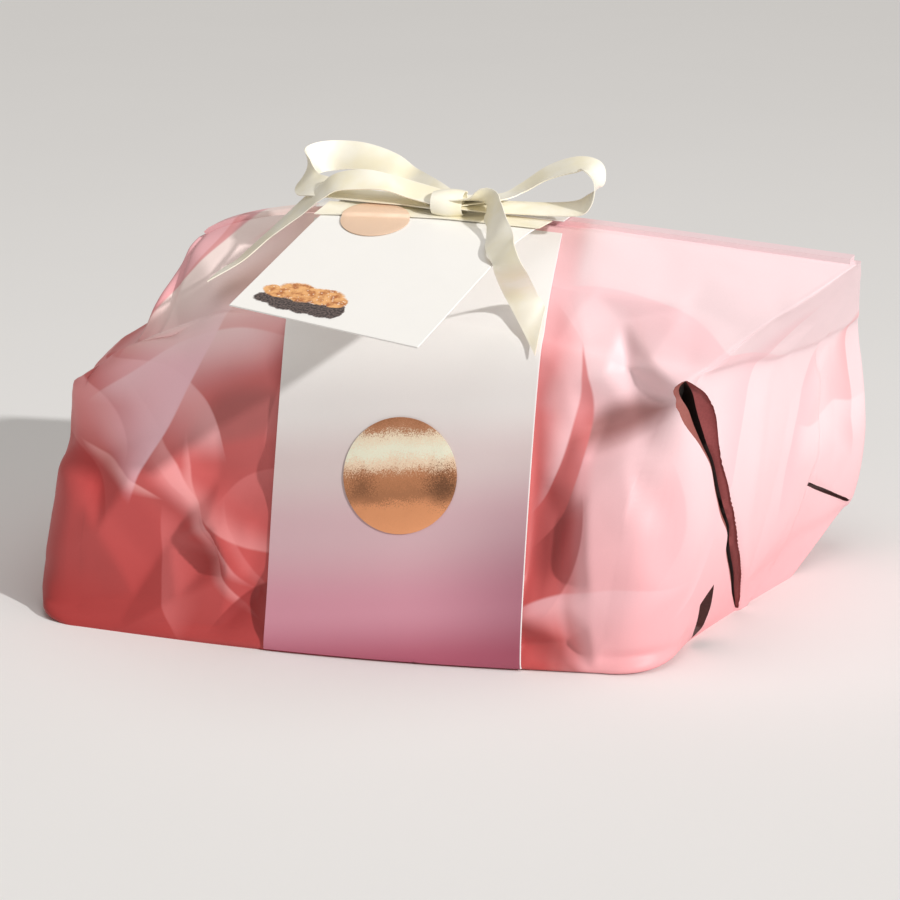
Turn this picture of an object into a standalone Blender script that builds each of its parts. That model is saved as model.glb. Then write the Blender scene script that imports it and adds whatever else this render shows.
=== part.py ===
"""A shut gift pack for a festive loaf: pleated paper wrap, printed band, card, foil seals, ribbon bow.

Metres, +Z up. +X runs along the pack and its front faces -Y. The origin lies on the floor under
the middle of the whole pack.
"""
import bpy
import bmesh
from math import cos, sin, pi, radians, sqrt
from mathutils import Vector

# Wrap: horizontal loops from the sole up to the ridge. Each has its four corners in the order
# front left, front right, back right, back left, how far its front, right, back and left sides
# swell outwards, and the radius of its corners.
LOOPS = {
    "sole": dict(corners=((-0.162, -0.138, 0.000), (0.153, -0.120, 0.000),
                          (0.196, 0.074, 0.000), (-0.148, 0.098, 0.000)),
                 swell=(0.011, -0.002, 0.008, 0.004), radius=0.020),
    "foot": dict(corners=((-0.173, -0.135, 0.006), (0.162, -0.124, 0.004),
                          (0.213, 0.124, 0.024), (-0.162, 0.116, 0.008)),
                 swell=(0.012, -0.006, 0.008, 0.004), radius=0.026),
    "low": dict(corners=((-0.176, -0.121, 0.030), (0.167, -0.123, 0.030),
                         (0.220, 0.130, 0.040), (-0.170, 0.122, 0.032)),
                swell=(0.015, -0.005, 0.008, 0.006), radius=0.028),
    "waist": dict(corners=((-0.168, -0.112, 0.082), (0.172, -0.112, 0.086),
                           (0.222, 0.129, 0.080), (-0.164, 0.118, 0.080)),
                  swell=(0.014, 0.000, 0.008, 0.006), radius=0.026),
    "shoulder": dict(corners=((-0.154, -0.111, 0.123), (0.174, -0.102, 0.143),
                              (0.213, 0.122, 0.125), (-0.150, 0.104, 0.122)),
                     swell=(-0.002, 0.008, 0.006, 0.006), radius=0.010, rise=0.026),
    "eave": dict(corners=((-0.125, -0.099, 0.141), (0.186, -0.092, 0.156),
                          (0.219, 0.090, 0.142), (-0.136, 0.078, 0.138)),
                 swell=(0.000, 0.007, 0.005, 0.005), radius=0.008, rise=0.026),
    "slope": dict(corners=((-0.116, -0.076, 0.166), (0.212, -0.076, 0.178),
                           (0.228, 0.040, 0.165), (-0.122, 0.030, 0.164)),
                  swell=(0.008, 0.004, 0.003, 0.003), radius=0.006, rise=0.016),
    "ridge": dict(corners=((-0.105, -0.053, 0.191), (0.243, -0.050, 0.2003),
                           (0.243, -0.040, 0.2003), (-0.105, -0.042, 0.191)),
                  swell=(0.011, 0.000, 0.001, 0.000), radius=0.003, rise=0.019),
}
RISE_SKEW = 0.62           # below 1 the top of each rising side sits nearer the left end
SIDE_STEPS = (16, 9, 16, 9)
CORNER_STEPS = 3
STEPS_BETWEEN_LOOPS = 3

# Rolled seam along the ridge
SEAM_THICKNESS = 0.0030
SEAM_SINK = 0.0015
SEAM_LIP = 0.0006
SEAM_STATIONS = 15

# Flap folded down over each end, and the pocket that gapes along its front edge. Outlines are
# depth and height pairs from the top down.
FLAP_FRONT = ((-0.094, 0.150), (-0.081, 0.124), (-0.065, 0.094), (-0.039, 0.049), (-0.010, 0.004))
FLAP_BACK = ((-0.012, 0.180), (0.040, 0.130), (0.049, 0.074), (0.030, 0.018), (0.004, 0.004))
POCKET_FRONT = ((-0.102, 0.140), (-0.103, 0.122), (-0.086, 0.099), (-0.056, 0.056), (-0.026, 0.012))
POCKET_BACK = ((-0.095, 0.143), (-0.082, 0.122), (-0.068, 0.097), (-0.042, 0.050), (-0.020, 0.010))
FLAP_STEP = 0.0016
FLAP_SINK = 0.0050
POCKET_DEPTH = 0.0080
PLATE_ROWS = 10
PLATE_COLUMNS = 4

# Printed band round the pack
BAND_LEFT = -0.0372
BAND_RIGHT = 0.0959
BAND_GAP = 0.0004
BAND_THICKNESS = 0.0007
BAND_STATIONS = 9
BAND_TUCK = 0.0025
SOLE_GROOVE = 0.0022

# Foil seals
SEAL_RADIUS = 0.0294
SEAL_THICKNESS = 0.0005
SEAL_GAP = 0.0004
SEAL_RINGS = 3
SEAL_SECTORS = 36
FRONT_SEAL_X = 0.0299
FRONT_SEAL_HEIGHT = 0.0932
FRONT_SEAL_SLANT = 0.960
CARD_SEAL_RADIUS = 0.0172
CARD_SEAL_PLACE = (-0.0233, 0.0411)

# Card: hangs from the knot by its far end and droops towards the front. Places on it are given
# from the middle of its far edge, across and then towards the front.
CARD_WIDTH = 0.102
CARD_LENGTH = 0.137
CARD_THICKNESS = 0.0008
CARD_PLACE = (0.0399, -0.0660, 0.2205)
CARD_YAW = radians(-9.0)
CARD_ROLL = radians(-5.3)
CARD_PITCH = (radians(1.0), radians(18.5))
CARD_DROOP_END = 0.060
CARD_STEPS = 14

# Ribbon: each strand is a row of stations, with the middle of the ribbon and the way it faces
# across its width
RIBBON_WIDTH = 0.0155
RIBBON_THICKNESS = 0.0009
STEPS_BETWEEN_STATIONS = 3
KNOT_PLACE = (0.0425, -0.0850, 0.2254)
KNOT_SIZE = (0.0085, 0.0072, 0.0054)
PINCH = 0.55
STRANDS = {
    "left_loop": dict(pinch=(True, True), cut=0.0, stations=(
        ((0.0395, -0.0825, 0.2265), (0.24, -0.96, -0.14)),
        ((0.0163, -0.0596, 0.2285), (0.26, -0.77, -0.58)),
        ((0.0008, -0.0507, 0.2354), (0.09, -0.80, -0.59)),
        ((-0.0161, -0.0467, 0.2384), (0.02, -0.62, -0.79)),
        ((-0.0309, -0.0456, 0.2380), (-0.05, -0.35, -0.93)),
        ((-0.0398, -0.0526, 0.2368), (0.12, -0.72, -0.68)),
        ((-0.0418, -0.0615, 0.2324), (0.39, -0.85, -0.36)),
        ((-0.0374, -0.0714, 0.2279), (0.57, -0.79, -0.22)),
        ((-0.0272, -0.0790, 0.2282), (0.62, -0.75, -0.25)),
        ((-0.0140, -0.0830, 0.2268), (0.49, -0.86, -0.16)),
        ((0.0032, -0.0830, 0.2257), (0.32, -0.93, -0.17)),
        ((0.0209, -0.0805, 0.2249), (0.31, -0.93, -0.18)),
        ((0.0385, -0.0835, 0.2245), (0.31, -0.94, -0.15)))),
    "right_loop": dict(pinch=(True, True), cut=0.0, stations=(
        ((0.0455, -0.0835, 0.2265), (0.30, -0.94, -0.14)),
        ((0.0647, -0.0665, 0.2264), (0.38, -0.93, 0.02)),
        ((0.0733, -0.0595, 0.2299), (0.41, -0.91, -0.07)),
        ((0.0852, -0.0555, 0.2376), (0.27, -0.93, -0.26)),
        ((0.0981, -0.0555, 0.2426), (0.08, -0.90, -0.43)),
        ((0.1080, -0.0590, 0.2436), (0.08, -0.92, -0.37)),
        ((0.1128, -0.0655, 0.2408), (0.05, -0.98, -0.17)),
        ((0.1158, -0.0715, 0.2355), (0.15, -0.98, 0.05)),
        ((0.1124, -0.0700, 0.2288), (0.45, -0.89, -0.05)),
        ((0.1060, -0.0690, 0.2240), (0.50, -0.85, -0.20)),
        ((0.0924, -0.0690, 0.2222), (0.36, -0.91, -0.21)),
        ((0.0749, -0.0710, 0.2222), (0.28, -0.94, -0.20)),
        ((0.0615, -0.0750, 0.2228), (0.29, -0.94, -0.20)),
        ((0.0460, -0.0835, 0.2248), (0.30, -0.95, -0.11)))),
    "left_tail": dict(pinch=(True, False), cut=0.012, stations=(
        ((0.0390, -0.0850, 0.2275), (0.21, -0.93, -0.31)),
        ((0.0229, -0.0840, 0.2306), (0.13, -0.93, -0.35)),
        ((0.0108, -0.0865, 0.2341), (0.22, -0.91, -0.35)),
        ((-0.0024, -0.0875, 0.2349), (0.30, -0.84, -0.45)),
        ((-0.0156, -0.0870, 0.2327), (0.48, -0.83, -0.29)),
        ((-0.0252, -0.0858, 0.2264), (0.58, -0.81, 0.00)),
        ((-0.0385, -0.0835, 0.2156), (0.69, -0.70, 0.18)),
        ((-0.0532, -0.0850, 0.2029), (0.68, -0.66, 0.32)),
        ((-0.0672, -0.0895, 0.1901), (0.66, -0.70, 0.28)),
        ((-0.0780, -0.0930, 0.1830), (0.66, -0.70, 0.28)))),
    "right_tail": dict(pinch=(True, False), cut=-0.019, stations=(
        ((0.0460, -0.0850, 0.2270), (0.40, -0.88, 0.20)),
        ((0.0620, -0.0877, 0.2286), (0.60, -0.77, 0.19)),
        ((0.0710, -0.1005, 0.2251), (0.61, -0.79, 0.07)),
        ((0.0771, -0.1139, 0.2183), (0.71, -0.70, 0.10)),
        ((0.0853, -0.1320, 0.2133), (0.86, -0.44, 0.24)),
        ((0.0889, -0.1312, 0.2038), (0.93, -0.10, 0.26)),
        ((0.0852, -0.1004, 0.1852), (0.88, 0.00, 0.40)),
        ((0.0907, -0.0975, 0.1737), (0.80, 0.10, 0.50)),
        ((0.0954, -0.1004, 0.1671), (0.80, 0.10, 0.50)))),
}
FLAT_STRAND = ((-0.0535, 0.0411), (0.0055, 0.0185), (0.0535, 0.0056))
FLAT_STRAND_WIDTH = 0.0105
FLAT_STRAND_LIFT = 0.0012


def lerp(a, b, t):
    return a + (b - a) * t


def clear_scene():
    for old in list(bpy.data.objects):
        bpy.data.objects.remove(old, do_unlink=True)


def make_material(name, colour, roughness, metallic=0.0):
    material = bpy.data.materials.new(name)
    material.use_nodes = True
    shader = material.node_tree.nodes["Principled BSDF"]
    shader.inputs["Base Color"].default_value = (*colour, 1.0)
    shader.inputs["Roughness"].default_value = roughness
    shader.inputs["Metallic"].default_value = metallic
    material.diffuse_color = (*colour, 1.0)
    return material


def make_collection(name):
    collection = bpy.data.collections.new(name)
    bpy.context.scene.collection.children.link(collection)
    return collection


def mesh_object(name, collection, material, build):
    """A mesh object whose faces the given function makes in a bmesh."""
    bm = bmesh.new()
    build(bm)
    bmesh.ops.recalc_face_normals(bm, faces=bm.faces)
    mesh = bpy.data.meshes.new(name)
    bm.to_mesh(mesh)
    bm.free()
    mesh.materials.append(material)
    thing = bpy.data.objects.new(name, mesh)
    collection.objects.link(thing)
    return thing


def bridge(bm, first, second):
    """Quads between two closed rings of vertices."""
    for i in range(len(first)):
        j = (i + 1) % len(first)
        bm.faces.new((first[i], first[j], second[j], second[i]))


def make_cutter(thing):
    thing.hide_render = True
    thing.display_type = 'WIRE'
    return thing


def add_boolean(thing, other, operation, solver='EXACT'):
    """Join or cut with another object, which stays live as a guide."""
    modifier = thing.modifiers.new(f"{operation.lower()} {other.name}", 'BOOLEAN')
    modifier.operation = operation
    modifier.solver = solver
    modifier.object = make_cutter(other)


# Wrap

def side_start(side):
    """Index of a side's first point in a loop: 0 front, 1 right, 2 back, 3 left."""
    return sum(SIDE_STEPS[:side]) + side * CORNER_STEPS


def side_of(row, side):
    return row[side_start(side):side_start(side) + SIDE_STEPS[side] + 1]


def side_points(start, end, swell, rise, side):
    """Points of one side of a loop, swollen outwards and upwards between its corners."""
    outward = Vector((end.y - start.y, start.x - end.x, 0.0)).normalized()
    points = []
    for i in range(SIDE_STEPS[side] + 1):
        t = i / SIDE_STEPS[side]
        from_left = 1 - t if side == 2 else t
        lift = Vector((0.0, 0.0, rise * sin(pi * from_left ** RISE_SKEW)))
        points.append(start.lerp(end, t) + outward * (swell * sin(pi * t)) + lift)
    return points


def corner_points(before, corner, after):
    """The points between two sides, on a curve that the corner pulls outwards."""
    points = []
    for i in range(1, CORNER_STEPS):
        t = i / CORNER_STEPS
        points.append(before * (1 - t) ** 2 + corner * (2 * t * (1 - t)) + after * t ** 2)
    return points


def loop_points(loop):
    """One closed loop of the wrap, counter-clockwise seen from above."""
    corners = [Vector(corner) for corner in loop["corners"]]
    sides = []
    for i in range(4):
        start, end = corners[i], corners[(i + 1) % 4]
        along = (end - start).normalized() * min(loop["radius"], (end - start).length * 0.35)
        rise = loop.get("rise", 0.0) if i in (0, 2) else 0.0
        sides.append(side_points(start + along, end - along, loop["swell"][i], rise, i))
    points = []
    for i in range(4):
        following = sides[(i + 1) % 4]
        points += sides[i] + corner_points(sides[i][-1], corners[(i + 1) % 4], following[0])
    return points


def spline(a, b, c, d, t):
    """Catmull-Rom value between b and c."""
    return (b * 2 + (c - a) * t + (a * 2 - b * 5 + c * 4 - d) * t ** 2
            + (b * 3 - a - c * 3 + d) * t ** 3) * 0.5


def wrap_rows():
    """Loops of the wrap from sole to ridge, with more of them between the named ones."""
    named = [loop_points(loop) for loop in LOOPS.values()]
    rows = [named[0]]
    for i in range(len(named) - 1):
        before = named[max(i - 1, 0)]
        after = named[min(i + 2, len(named) - 1)]
        for step in range(1, STEPS_BETWEEN_LOOPS + 1):
            t = step / STEPS_BETWEEN_LOOPS
            row = [spline(a, b, c, d, t) for a, b, c, d in zip(before, named[i], named[i + 1], after)]
            for point in row:
                point.z = max(point.z, 0.0)
            rows.append(row)
    return rows


def build_wrap_body(bm, rows):
    rings = [[bm.verts.new(point) for point in row] for row in rows]
    for lower, upper in zip(rings, rings[1:]):
        bridge(bm, lower, upper)
    close_across(bm, rings[0])
    close_across(bm, rings[-1])


def close_across(bm, ring):
    """Close a loop with crosswise quads from its front to its back."""
    front = side_of(ring, 0)
    back = side_of(ring, 2)[::-1]
    for i in range(SIDE_STEPS[0]):
        bm.faces.new((front[i], front[i + 1], back[i + 1], back[i]))
    bm.faces.new(ring[SIDE_STEPS[0]:side_start(2) + 1])
    bm.faces.new(ring[side_start(2) + SIDE_STEPS[2]:] + [ring[0]])


def crossing(points, x):
    """Where a run of points passes a place along the pack."""
    for a, b in zip(points, points[1:]):
        if min(a.x, b.x) <= x <= max(a.x, b.x):
            return a.lerp(b, (x - a.x) / (b.x - a.x))
    return min(points, key=lambda point: abs(point.x - x)).copy()


def section(rows, x):
    """Front and back points of the wrap at one place along it, both from the sole up."""
    front = [crossing(side_of(row, 0), x) for row in rows]
    back = [crossing(side_of(row, 2), x) for row in rows]
    return front, back


def end_x(rows, side, y, z):
    """How far out an end of the wrap lies at one depth and height."""
    profile = []
    for row in rows:
        run = side_of(row, side)
        a, b = min(zip(run, run[1:]), key=lambda pair: abs(pair[0].y + pair[1].y - 2 * y))
        profile.append(a.lerp(b, min(max((y - a.y) / (b.y - a.y), 0.0), 1.0)))
    for a, b in zip(profile, profile[1:]):
        if a.z <= z <= b.z and b.z > a.z:
            return lerp(a.x, b.x, (z - a.z) / (b.z - a.z))
    return profile[-1].x if z > profile[-1].z else profile[0].x


def along_outline(outline, t):
    """Depth and height at a fraction of the way down an outline."""
    place = t * (len(outline) - 1)
    i = min(int(place), len(outline) - 2)
    return tuple(lerp(a, b, place - i) for a, b in zip(outline[i], outline[i + 1]))


def build_end_plate(bm, rows, side, front, back, outward, inward):
    """A closed plate that follows an end of the wrap between two outlines."""
    out = 1.0 if side == 1 else -1.0
    layers = []
    for offset in (-inward, outward):
        layer = []
        for i in range(PLATE_ROWS + 1):
            start = along_outline(front, i / PLATE_ROWS)
            end = along_outline(back, i / PLATE_ROWS)
            strip = []
            for j in range(PLATE_COLUMNS + 1):
                y, z = (lerp(a, b, j / PLATE_COLUMNS) for a, b in zip(start, end))
                strip.append(bm.verts.new((end_x(rows, side, y, z) + out * offset, y, z)))
            layer.append(strip)
        layers.append(layer)
    inner, outer = layers
    for i in range(PLATE_ROWS):
        for j in range(PLATE_COLUMNS):
            bm.faces.new((outer[i][j], outer[i + 1][j], outer[i + 1][j + 1], outer[i][j + 1]))
            bm.faces.new((inner[i][j], inner[i][j + 1], inner[i + 1][j + 1], inner[i + 1][j]))
    bridge(bm, plate_rim(inner), plate_rim(outer))


def plate_rim(grid):
    """The border of a grid of vertices, in order."""
    left = [strip[0] for strip in grid]
    right = [strip[-1] for strip in grid]
    return grid[0][:-1] + right[:-1] + grid[-1][:0:-1] + left[:0:-1]


def build_seam(bm, rows):
    """The rolled seam, a flat bar that lies along the ridge."""
    front, back = side_of(rows[-1], 0), side_of(rows[-1], 2)
    first, last = front[0].x + 0.001, front[-1].x - 0.001
    rings = []
    for i in range(SEAM_STATIONS):
        x = lerp(first, last, i / (SEAM_STATIONS - 1))
        a, b = crossing(front, x), crossing(back, x)
        corners = ((a, -SEAM_LIP, -SEAM_SINK), (b, -SEAM_LIP, -SEAM_SINK),
                   (b, -SEAM_LIP, SEAM_THICKNESS), (a, -SEAM_LIP, SEAM_THICKNESS))
        rings.append([bm.verts.new(p + Vector((0.0, depth, height))) for p, depth, height in corners])
    for first_ring, second_ring in zip(rings, rings[1:]):
        bridge(bm, first_ring, second_ring)
    bm.faces.new(rings[0])
    bm.faces.new(rings[-1])


def build_sole_groove(bm):
    """A shallow slab under the pack, where the band runs clear of the floor."""
    made = bmesh.ops.create_cube(bm, size=1.0)
    reach = 0.4
    width = BAND_RIGHT - BAND_LEFT + 0.0012
    size = Vector((width, reach, SOLE_GROOVE * 2))
    bmesh.ops.scale(bm, vec=size, verts=made["verts"])
    bmesh.ops.translate(bm, vec=((BAND_LEFT + BAND_RIGHT) / 2, 0.0, 0.0), verts=made["verts"])


def make_wrap(pack, cutters, rows):
    paper = make_material("pink paper", (0.72, 0.34, 0.36), 0.55)
    wrap = mesh_object("wrap", pack, paper, lambda bm: build_wrap_body(bm, rows))
    seam = mesh_object("seam", cutters, paper, lambda bm: build_seam(bm, rows))
    add_boolean(wrap, seam, 'UNION')
    for side, name in ((1, "right"), (3, "left")):
        flap = mesh_object(f"{name} flap", cutters, paper, lambda bm: build_end_plate(
            bm, rows, side, FLAP_FRONT, FLAP_BACK, FLAP_STEP, FLAP_SINK))
        add_boolean(wrap, flap, 'UNION')
        pocket = mesh_object(f"{name} pocket", cutters, paper, lambda bm: build_end_plate(
            bm, rows, side, POCKET_FRONT, POCKET_BACK, POCKET_DEPTH, POCKET_DEPTH))
        add_boolean(wrap, pocket, 'DIFFERENCE')
    groove = mesh_object("sole groove", cutters, paper, build_sole_groove)
    add_boolean(wrap, groove, 'DIFFERENCE')
    return wrap


# Band

def band_path(rows, x):
    """The band's route round the pack at one place along it, from the front top to the seam's edge."""
    front, back = section(rows, x)
    top = front[-1].z - BAND_TUCK
    down = [point for point in reversed(front) if SOLE_GROOVE < point.z < top]
    up = [point for point in back[:-1] if point.z > SOLE_GROOVE]
    start, end = point_at_height(front, top), back[-1] + Vector((0.0, -SEAM_LIP, SEAM_THICKNESS))
    edge = front[-1] + Vector((0.0, -SEAM_LIP + 0.0005, SEAM_THICKNESS))
    shoulder = back[-1]
    return ([start] + down + [point_at_height(front, SOLE_GROOVE), point_at_height(back, SOLE_GROOVE)]
            + up + [shoulder, end, edge])


def point_at_height(profile, z):
    """The place on a rising profile at one height."""
    for a, b in zip(profile, profile[1:]):
        if a.z <= z <= b.z and b.z > a.z:
            return a.lerp(b, (z - a.z) / (b.z - a.z))
    return profile[-1].copy()


def offset_path(path, distance):
    """The route moved sideways out of the pack, with its corners kept sharp."""
    moved = []
    for i, point in enumerate(path):
        normals = []
        for a, b in ((path[max(i - 1, 0)], point), (point, path[min(i + 1, len(path) - 1)])):
            run = b - a
            if run.length > 1e-9:
                normals.append(Vector((0.0, run.z, -run.y)).normalized())
        middle = sum(normals, Vector()) / len(normals)
        stretch = 1.0 / max(middle.length, 0.6)
        moved.append(point + middle.normalized() * (distance * stretch))
    return moved


def build_band(bm, rows):
    rings = []
    for i in range(BAND_STATIONS):
        path = band_path(rows, lerp(BAND_LEFT, BAND_RIGHT, i / (BAND_STATIONS - 1)))
        inner = offset_path(path, BAND_GAP)
        outer = offset_path(path, BAND_GAP + BAND_THICKNESS)
        rings.append([bm.verts.new(point) for point in outer + inner[::-1]])
    for first, second in zip(rings, rings[1:]):
        bridge(bm, first, second)
    half = len(rings[0]) // 2
    for ring in (rings[0], rings[-1]):
        for i in range(half - 1):
            bm.faces.new((ring[i], ring[i + 1], ring[-2 - i], ring[-1 - i]))


# Seals

def build_disc(bm, surface, radius, base, rings_across):
    """A thin disc whose two faces lie at two distances from a surface."""
    rims = []
    for distance in (base, base + SEAL_THICKNESS):
        hub = bm.verts.new(surface(0.0, 0.0, distance))
        rings = []
        for ring in range(1, rings_across + 1):
            reach = radius * ring / rings_across
            turns = [2 * pi * k / SEAL_SECTORS for k in range(SEAL_SECTORS)]
            rings.append([bm.verts.new(surface(reach * cos(turn), reach * sin(turn), distance))
                          for turn in turns])
        for first, second in zip(rings, rings[1:]):
            bridge(bm, first, second)
        for k in range(SEAL_SECTORS):
            bm.faces.new((hub, rings[0][k], rings[0][(k + 1) % SEAL_SECTORS]))
        rims.append(rings[-1])
    bridge(bm, rims[0], rims[1])


def build_front_seal(bm, rows):
    """A thin round sticker that follows the band's front."""
    def surface(across, up, distance):
        front, _ = section(rows, FRONT_SEAL_X + across)
        height = FRONT_SEAL_HEIGHT + up * FRONT_SEAL_SLANT
        a, b = point_at_height(front, height - 0.004), point_at_height(front, height + 0.004)
        rise = (b - a).normalized()
        return point_at_height(front, height) + Vector((0.0, -rise.z, rise.y)) * distance

    build_disc(bm, surface, SEAL_RADIUS, BAND_GAP + BAND_THICKNESS + SEAL_GAP, SEAL_RINGS)


def card_frame():
    """Axes of the card: across it, towards its front end and up."""
    across = Vector((cos(CARD_YAW) * cos(CARD_ROLL), sin(CARD_YAW) * cos(CARD_ROLL), sin(CARD_ROLL)))
    up = (Vector((0.0, 0.0, 1.0)) - across * across.z).normalized()
    return across, across.cross(up), up


def card_point(across, down, lift):
    """A place above or below the middle of the card's thickness."""
    side, front, up = card_frame()
    place = Vector(CARD_PLACE)
    steps = 24
    for i in range(steps):
        pitch = card_pitch(down * (i + 0.5) / steps)
        place += (front * cos(pitch) - up * sin(pitch)) * (down / steps)
    pitch = card_pitch(down)
    return place + side * across + (up * cos(pitch) + front * sin(pitch)) * lift


def card_pitch(down):
    """How steeply the card falls at one distance from its far edge."""
    return lerp(*CARD_PITCH, min(max(down / CARD_DROOP_END, 0.0), 1.0))


def build_card(bm):
    half, rise = CARD_WIDTH / 2, CARD_THICKNESS / 2
    rings = []
    for i in range(CARD_STEPS + 1):
        down = CARD_LENGTH * i / CARD_STEPS
        corners = ((-half, rise), (half, rise), (half, -rise), (-half, -rise))
        rings.append([bm.verts.new(card_point(across, down, lift)) for across, lift in corners])
    for first, second in zip(rings, rings[1:]):
        bridge(bm, first, second)
    bm.faces.new(rings[0])
    bm.faces.new(rings[-1])


def build_card_seal(bm):
    """A thin round sticker on the card that holds the flat strand down."""
    (ax, ay), (bx, by) = FLAT_STRAND[:2]
    run = sqrt((bx - ax) ** 2 + (by - ay) ** 2)
    full = FLAT_STRAND_WIDTH / 2 + 0.0011
    over_strand = FLAT_STRAND_LIFT + RIBBON_THICKNESS / 2 + SEAL_GAP

    def surface(across, down, distance):
        across, down = across + CARD_SEAL_PLACE[0], down + CARD_SEAL_PLACE[1]
        away = abs((bx - ax) * (down - ay) - (by - ay) * (across - ax)) / run
        t = min(max((away - full) / 0.003, 0.0), 1.0)
        lift = lerp(over_strand, CARD_THICKNESS / 2 + SEAL_GAP, t * t * (3 - 2 * t))
        return card_point(across, down, lift + distance)

    build_disc(bm, surface, CARD_SEAL_RADIUS, 0.0, 6)


# Ribbon

def strand_stations(strand):
    """Smooth stations along a strand: middle, way across and width."""
    middles = [Vector(middle) for middle, _ in strand["stations"]]
    ways = [Vector(way).normalized() for _, way in strand["stations"]]
    count = (len(middles) - 1) * STEPS_BETWEEN_STATIONS
    stations = []
    for k in range(count + 1):
        i = min(k // STEPS_BETWEEN_STATIONS, len(middles) - 2)
        t = k / STEPS_BETWEEN_STATIONS - i
        picks = [min(max(n, 0), len(middles) - 1) for n in (i - 1, i, i + 1, i + 2)]
        middle = spline(*(middles[n] for n in picks), t)
        way = spline(*(ways[n] for n in picks), t).normalized()
        width = RIBBON_WIDTH
        for pinched, distance in zip(strand["pinch"], (k, count - k)):
            if pinched:
                width *= lerp(PINCH, 1.0, min(distance / (2 * STEPS_BETWEEN_STATIONS), 1.0))
        stations.append((middle, way, width))
    return stations


def build_strand(bm, stations, cut):
    """A thin ribbon through its stations, with a slanting end if cut isn't zero."""
    rings = []
    for k, (middle, way, width) in enumerate(stations):
        before, after = stations[max(k - 1, 0)][0], stations[min(k + 1, len(stations) - 1)][0]
        run = (after - before).normalized()
        across = (way - run * way.dot(run)).normalized()
        normal = run.cross(across) * (RIBBON_THICKNESS / 2)
        slant = run * (cut / 2 if k == len(stations) - 1 else 0.0)
        near, far = middle + across * (width / 2) + slant, middle - across * (width / 2) - slant
        corners = (near + normal, far + normal, far - normal, near - normal)
        rings.append([bm.verts.new(point) for point in corners])
    for first, second in zip(rings, rings[1:]):
        bridge(bm, first, second)
    bm.faces.new(rings[0])
    bm.faces.new(rings[-1])


def flat_strand_stations():
    """The strand that crosses the card's far end and just passes both its sides."""
    steps = 8
    places = [Vector(FLAT_STRAND[0])]
    for start, end in zip(FLAT_STRAND, FLAT_STRAND[1:]):
        places += [Vector(start).lerp(Vector(end), i / steps) for i in range(1, steps + 1)]
    stations = []
    for across, down in places:
        slope = card_point(across, down + 0.001, 0.0) - card_point(across, down - 0.001, 0.0)
        stations.append((card_point(across, down, FLAT_STRAND_LIFT), slope, FLAT_STRAND_WIDTH))
    return stations


def build_knot(bm):
    bmesh.ops.create_uvsphere(bm, u_segments=16, v_segments=10, radius=1.0)
    for vert in bm.verts:
        pleat = 1.0 + 0.06 * cos(6 * vert.co.x * pi)
        vert.co = Vector(KNOT_PLACE) + Vector([a * b * pleat for a, b in zip(vert.co, KNOT_SIZE)])


def make_ribbon(pack, cutters):
    satin = make_material("cream satin", (0.84, 0.78, 0.66), 0.4)
    ribbon = mesh_object("ribbon", pack, satin, build_knot)
    for name, strand in STRANDS.items():
        stations = strand_stations(strand)
        piece = mesh_object(name, cutters, satin, lambda bm: build_strand(bm, stations, strand["cut"]))
        add_boolean(ribbon, piece, 'UNION', 'MANIFOLD')
    flat = mesh_object("flat_strand", cutters, satin, lambda bm: build_strand(
        bm, flat_strand_stations(), 0.0))
    add_boolean(ribbon, flat, 'UNION', 'MANIFOLD')
    return ribbon


def centre_on_floor(holder, things):
    """Move the whole pack so that the origin lies under its middle."""
    bpy.context.view_layer.update()
    graph = bpy.context.evaluated_depsgraph_get()
    points = []
    for thing in things:
        solid = thing.evaluated_get(graph)
        points += [solid.matrix_world @ Vector(corner) for corner in solid.bound_box]
    middle = [(min(p[axis] for p in points) + max(p[axis] for p in points)) / 2 for axis in (0, 1)]
    holder.location = (-middle[0], -middle[1], 0.0)


def main():
    clear_scene()
    pack = make_collection("gift_pack")
    cutters = make_collection("cutters")
    rows = wrap_rows()
    printed = make_material("printed band", (0.66, 0.55, 0.56), 0.45)
    foil = make_material("copper foil", (0.80, 0.48, 0.33), 0.3, 0.9)
    white = make_material("white card", (0.90, 0.88, 0.85), 0.6)
    things = [make_wrap(pack, cutters, rows)]
    things.append(mesh_object("band", pack, printed, lambda bm: build_band(bm, rows)))
    things.append(mesh_object("seal_front", pack, foil, lambda bm: build_front_seal(bm, rows)))
    things.append(mesh_object("card", pack, white, build_card))
    things.append(mesh_object("seal_card", pack, foil, build_card_seal))
    things.append(make_ribbon(pack, cutters))
    holder = bpy.data.objects.new("pack middle", None)
    pack.objects.link(holder)
    for thing in list(pack.objects) + list(cutters.objects):
        if thing is not holder:
            thing.parent = holder
    centre_on_floor(holder, things)


main()
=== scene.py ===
# A shut gift pack for a festive loaf: pleated paper wrap, printed band, hanging card, foil seals, ribbon bow.
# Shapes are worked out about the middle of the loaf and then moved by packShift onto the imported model.
import bpy
import bmesh
import numpy as np
from math import cos, sin, pi, radians, sqrt
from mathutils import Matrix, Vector, geometry, noise
from mathutils.bvhtree import BVHTree


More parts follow.
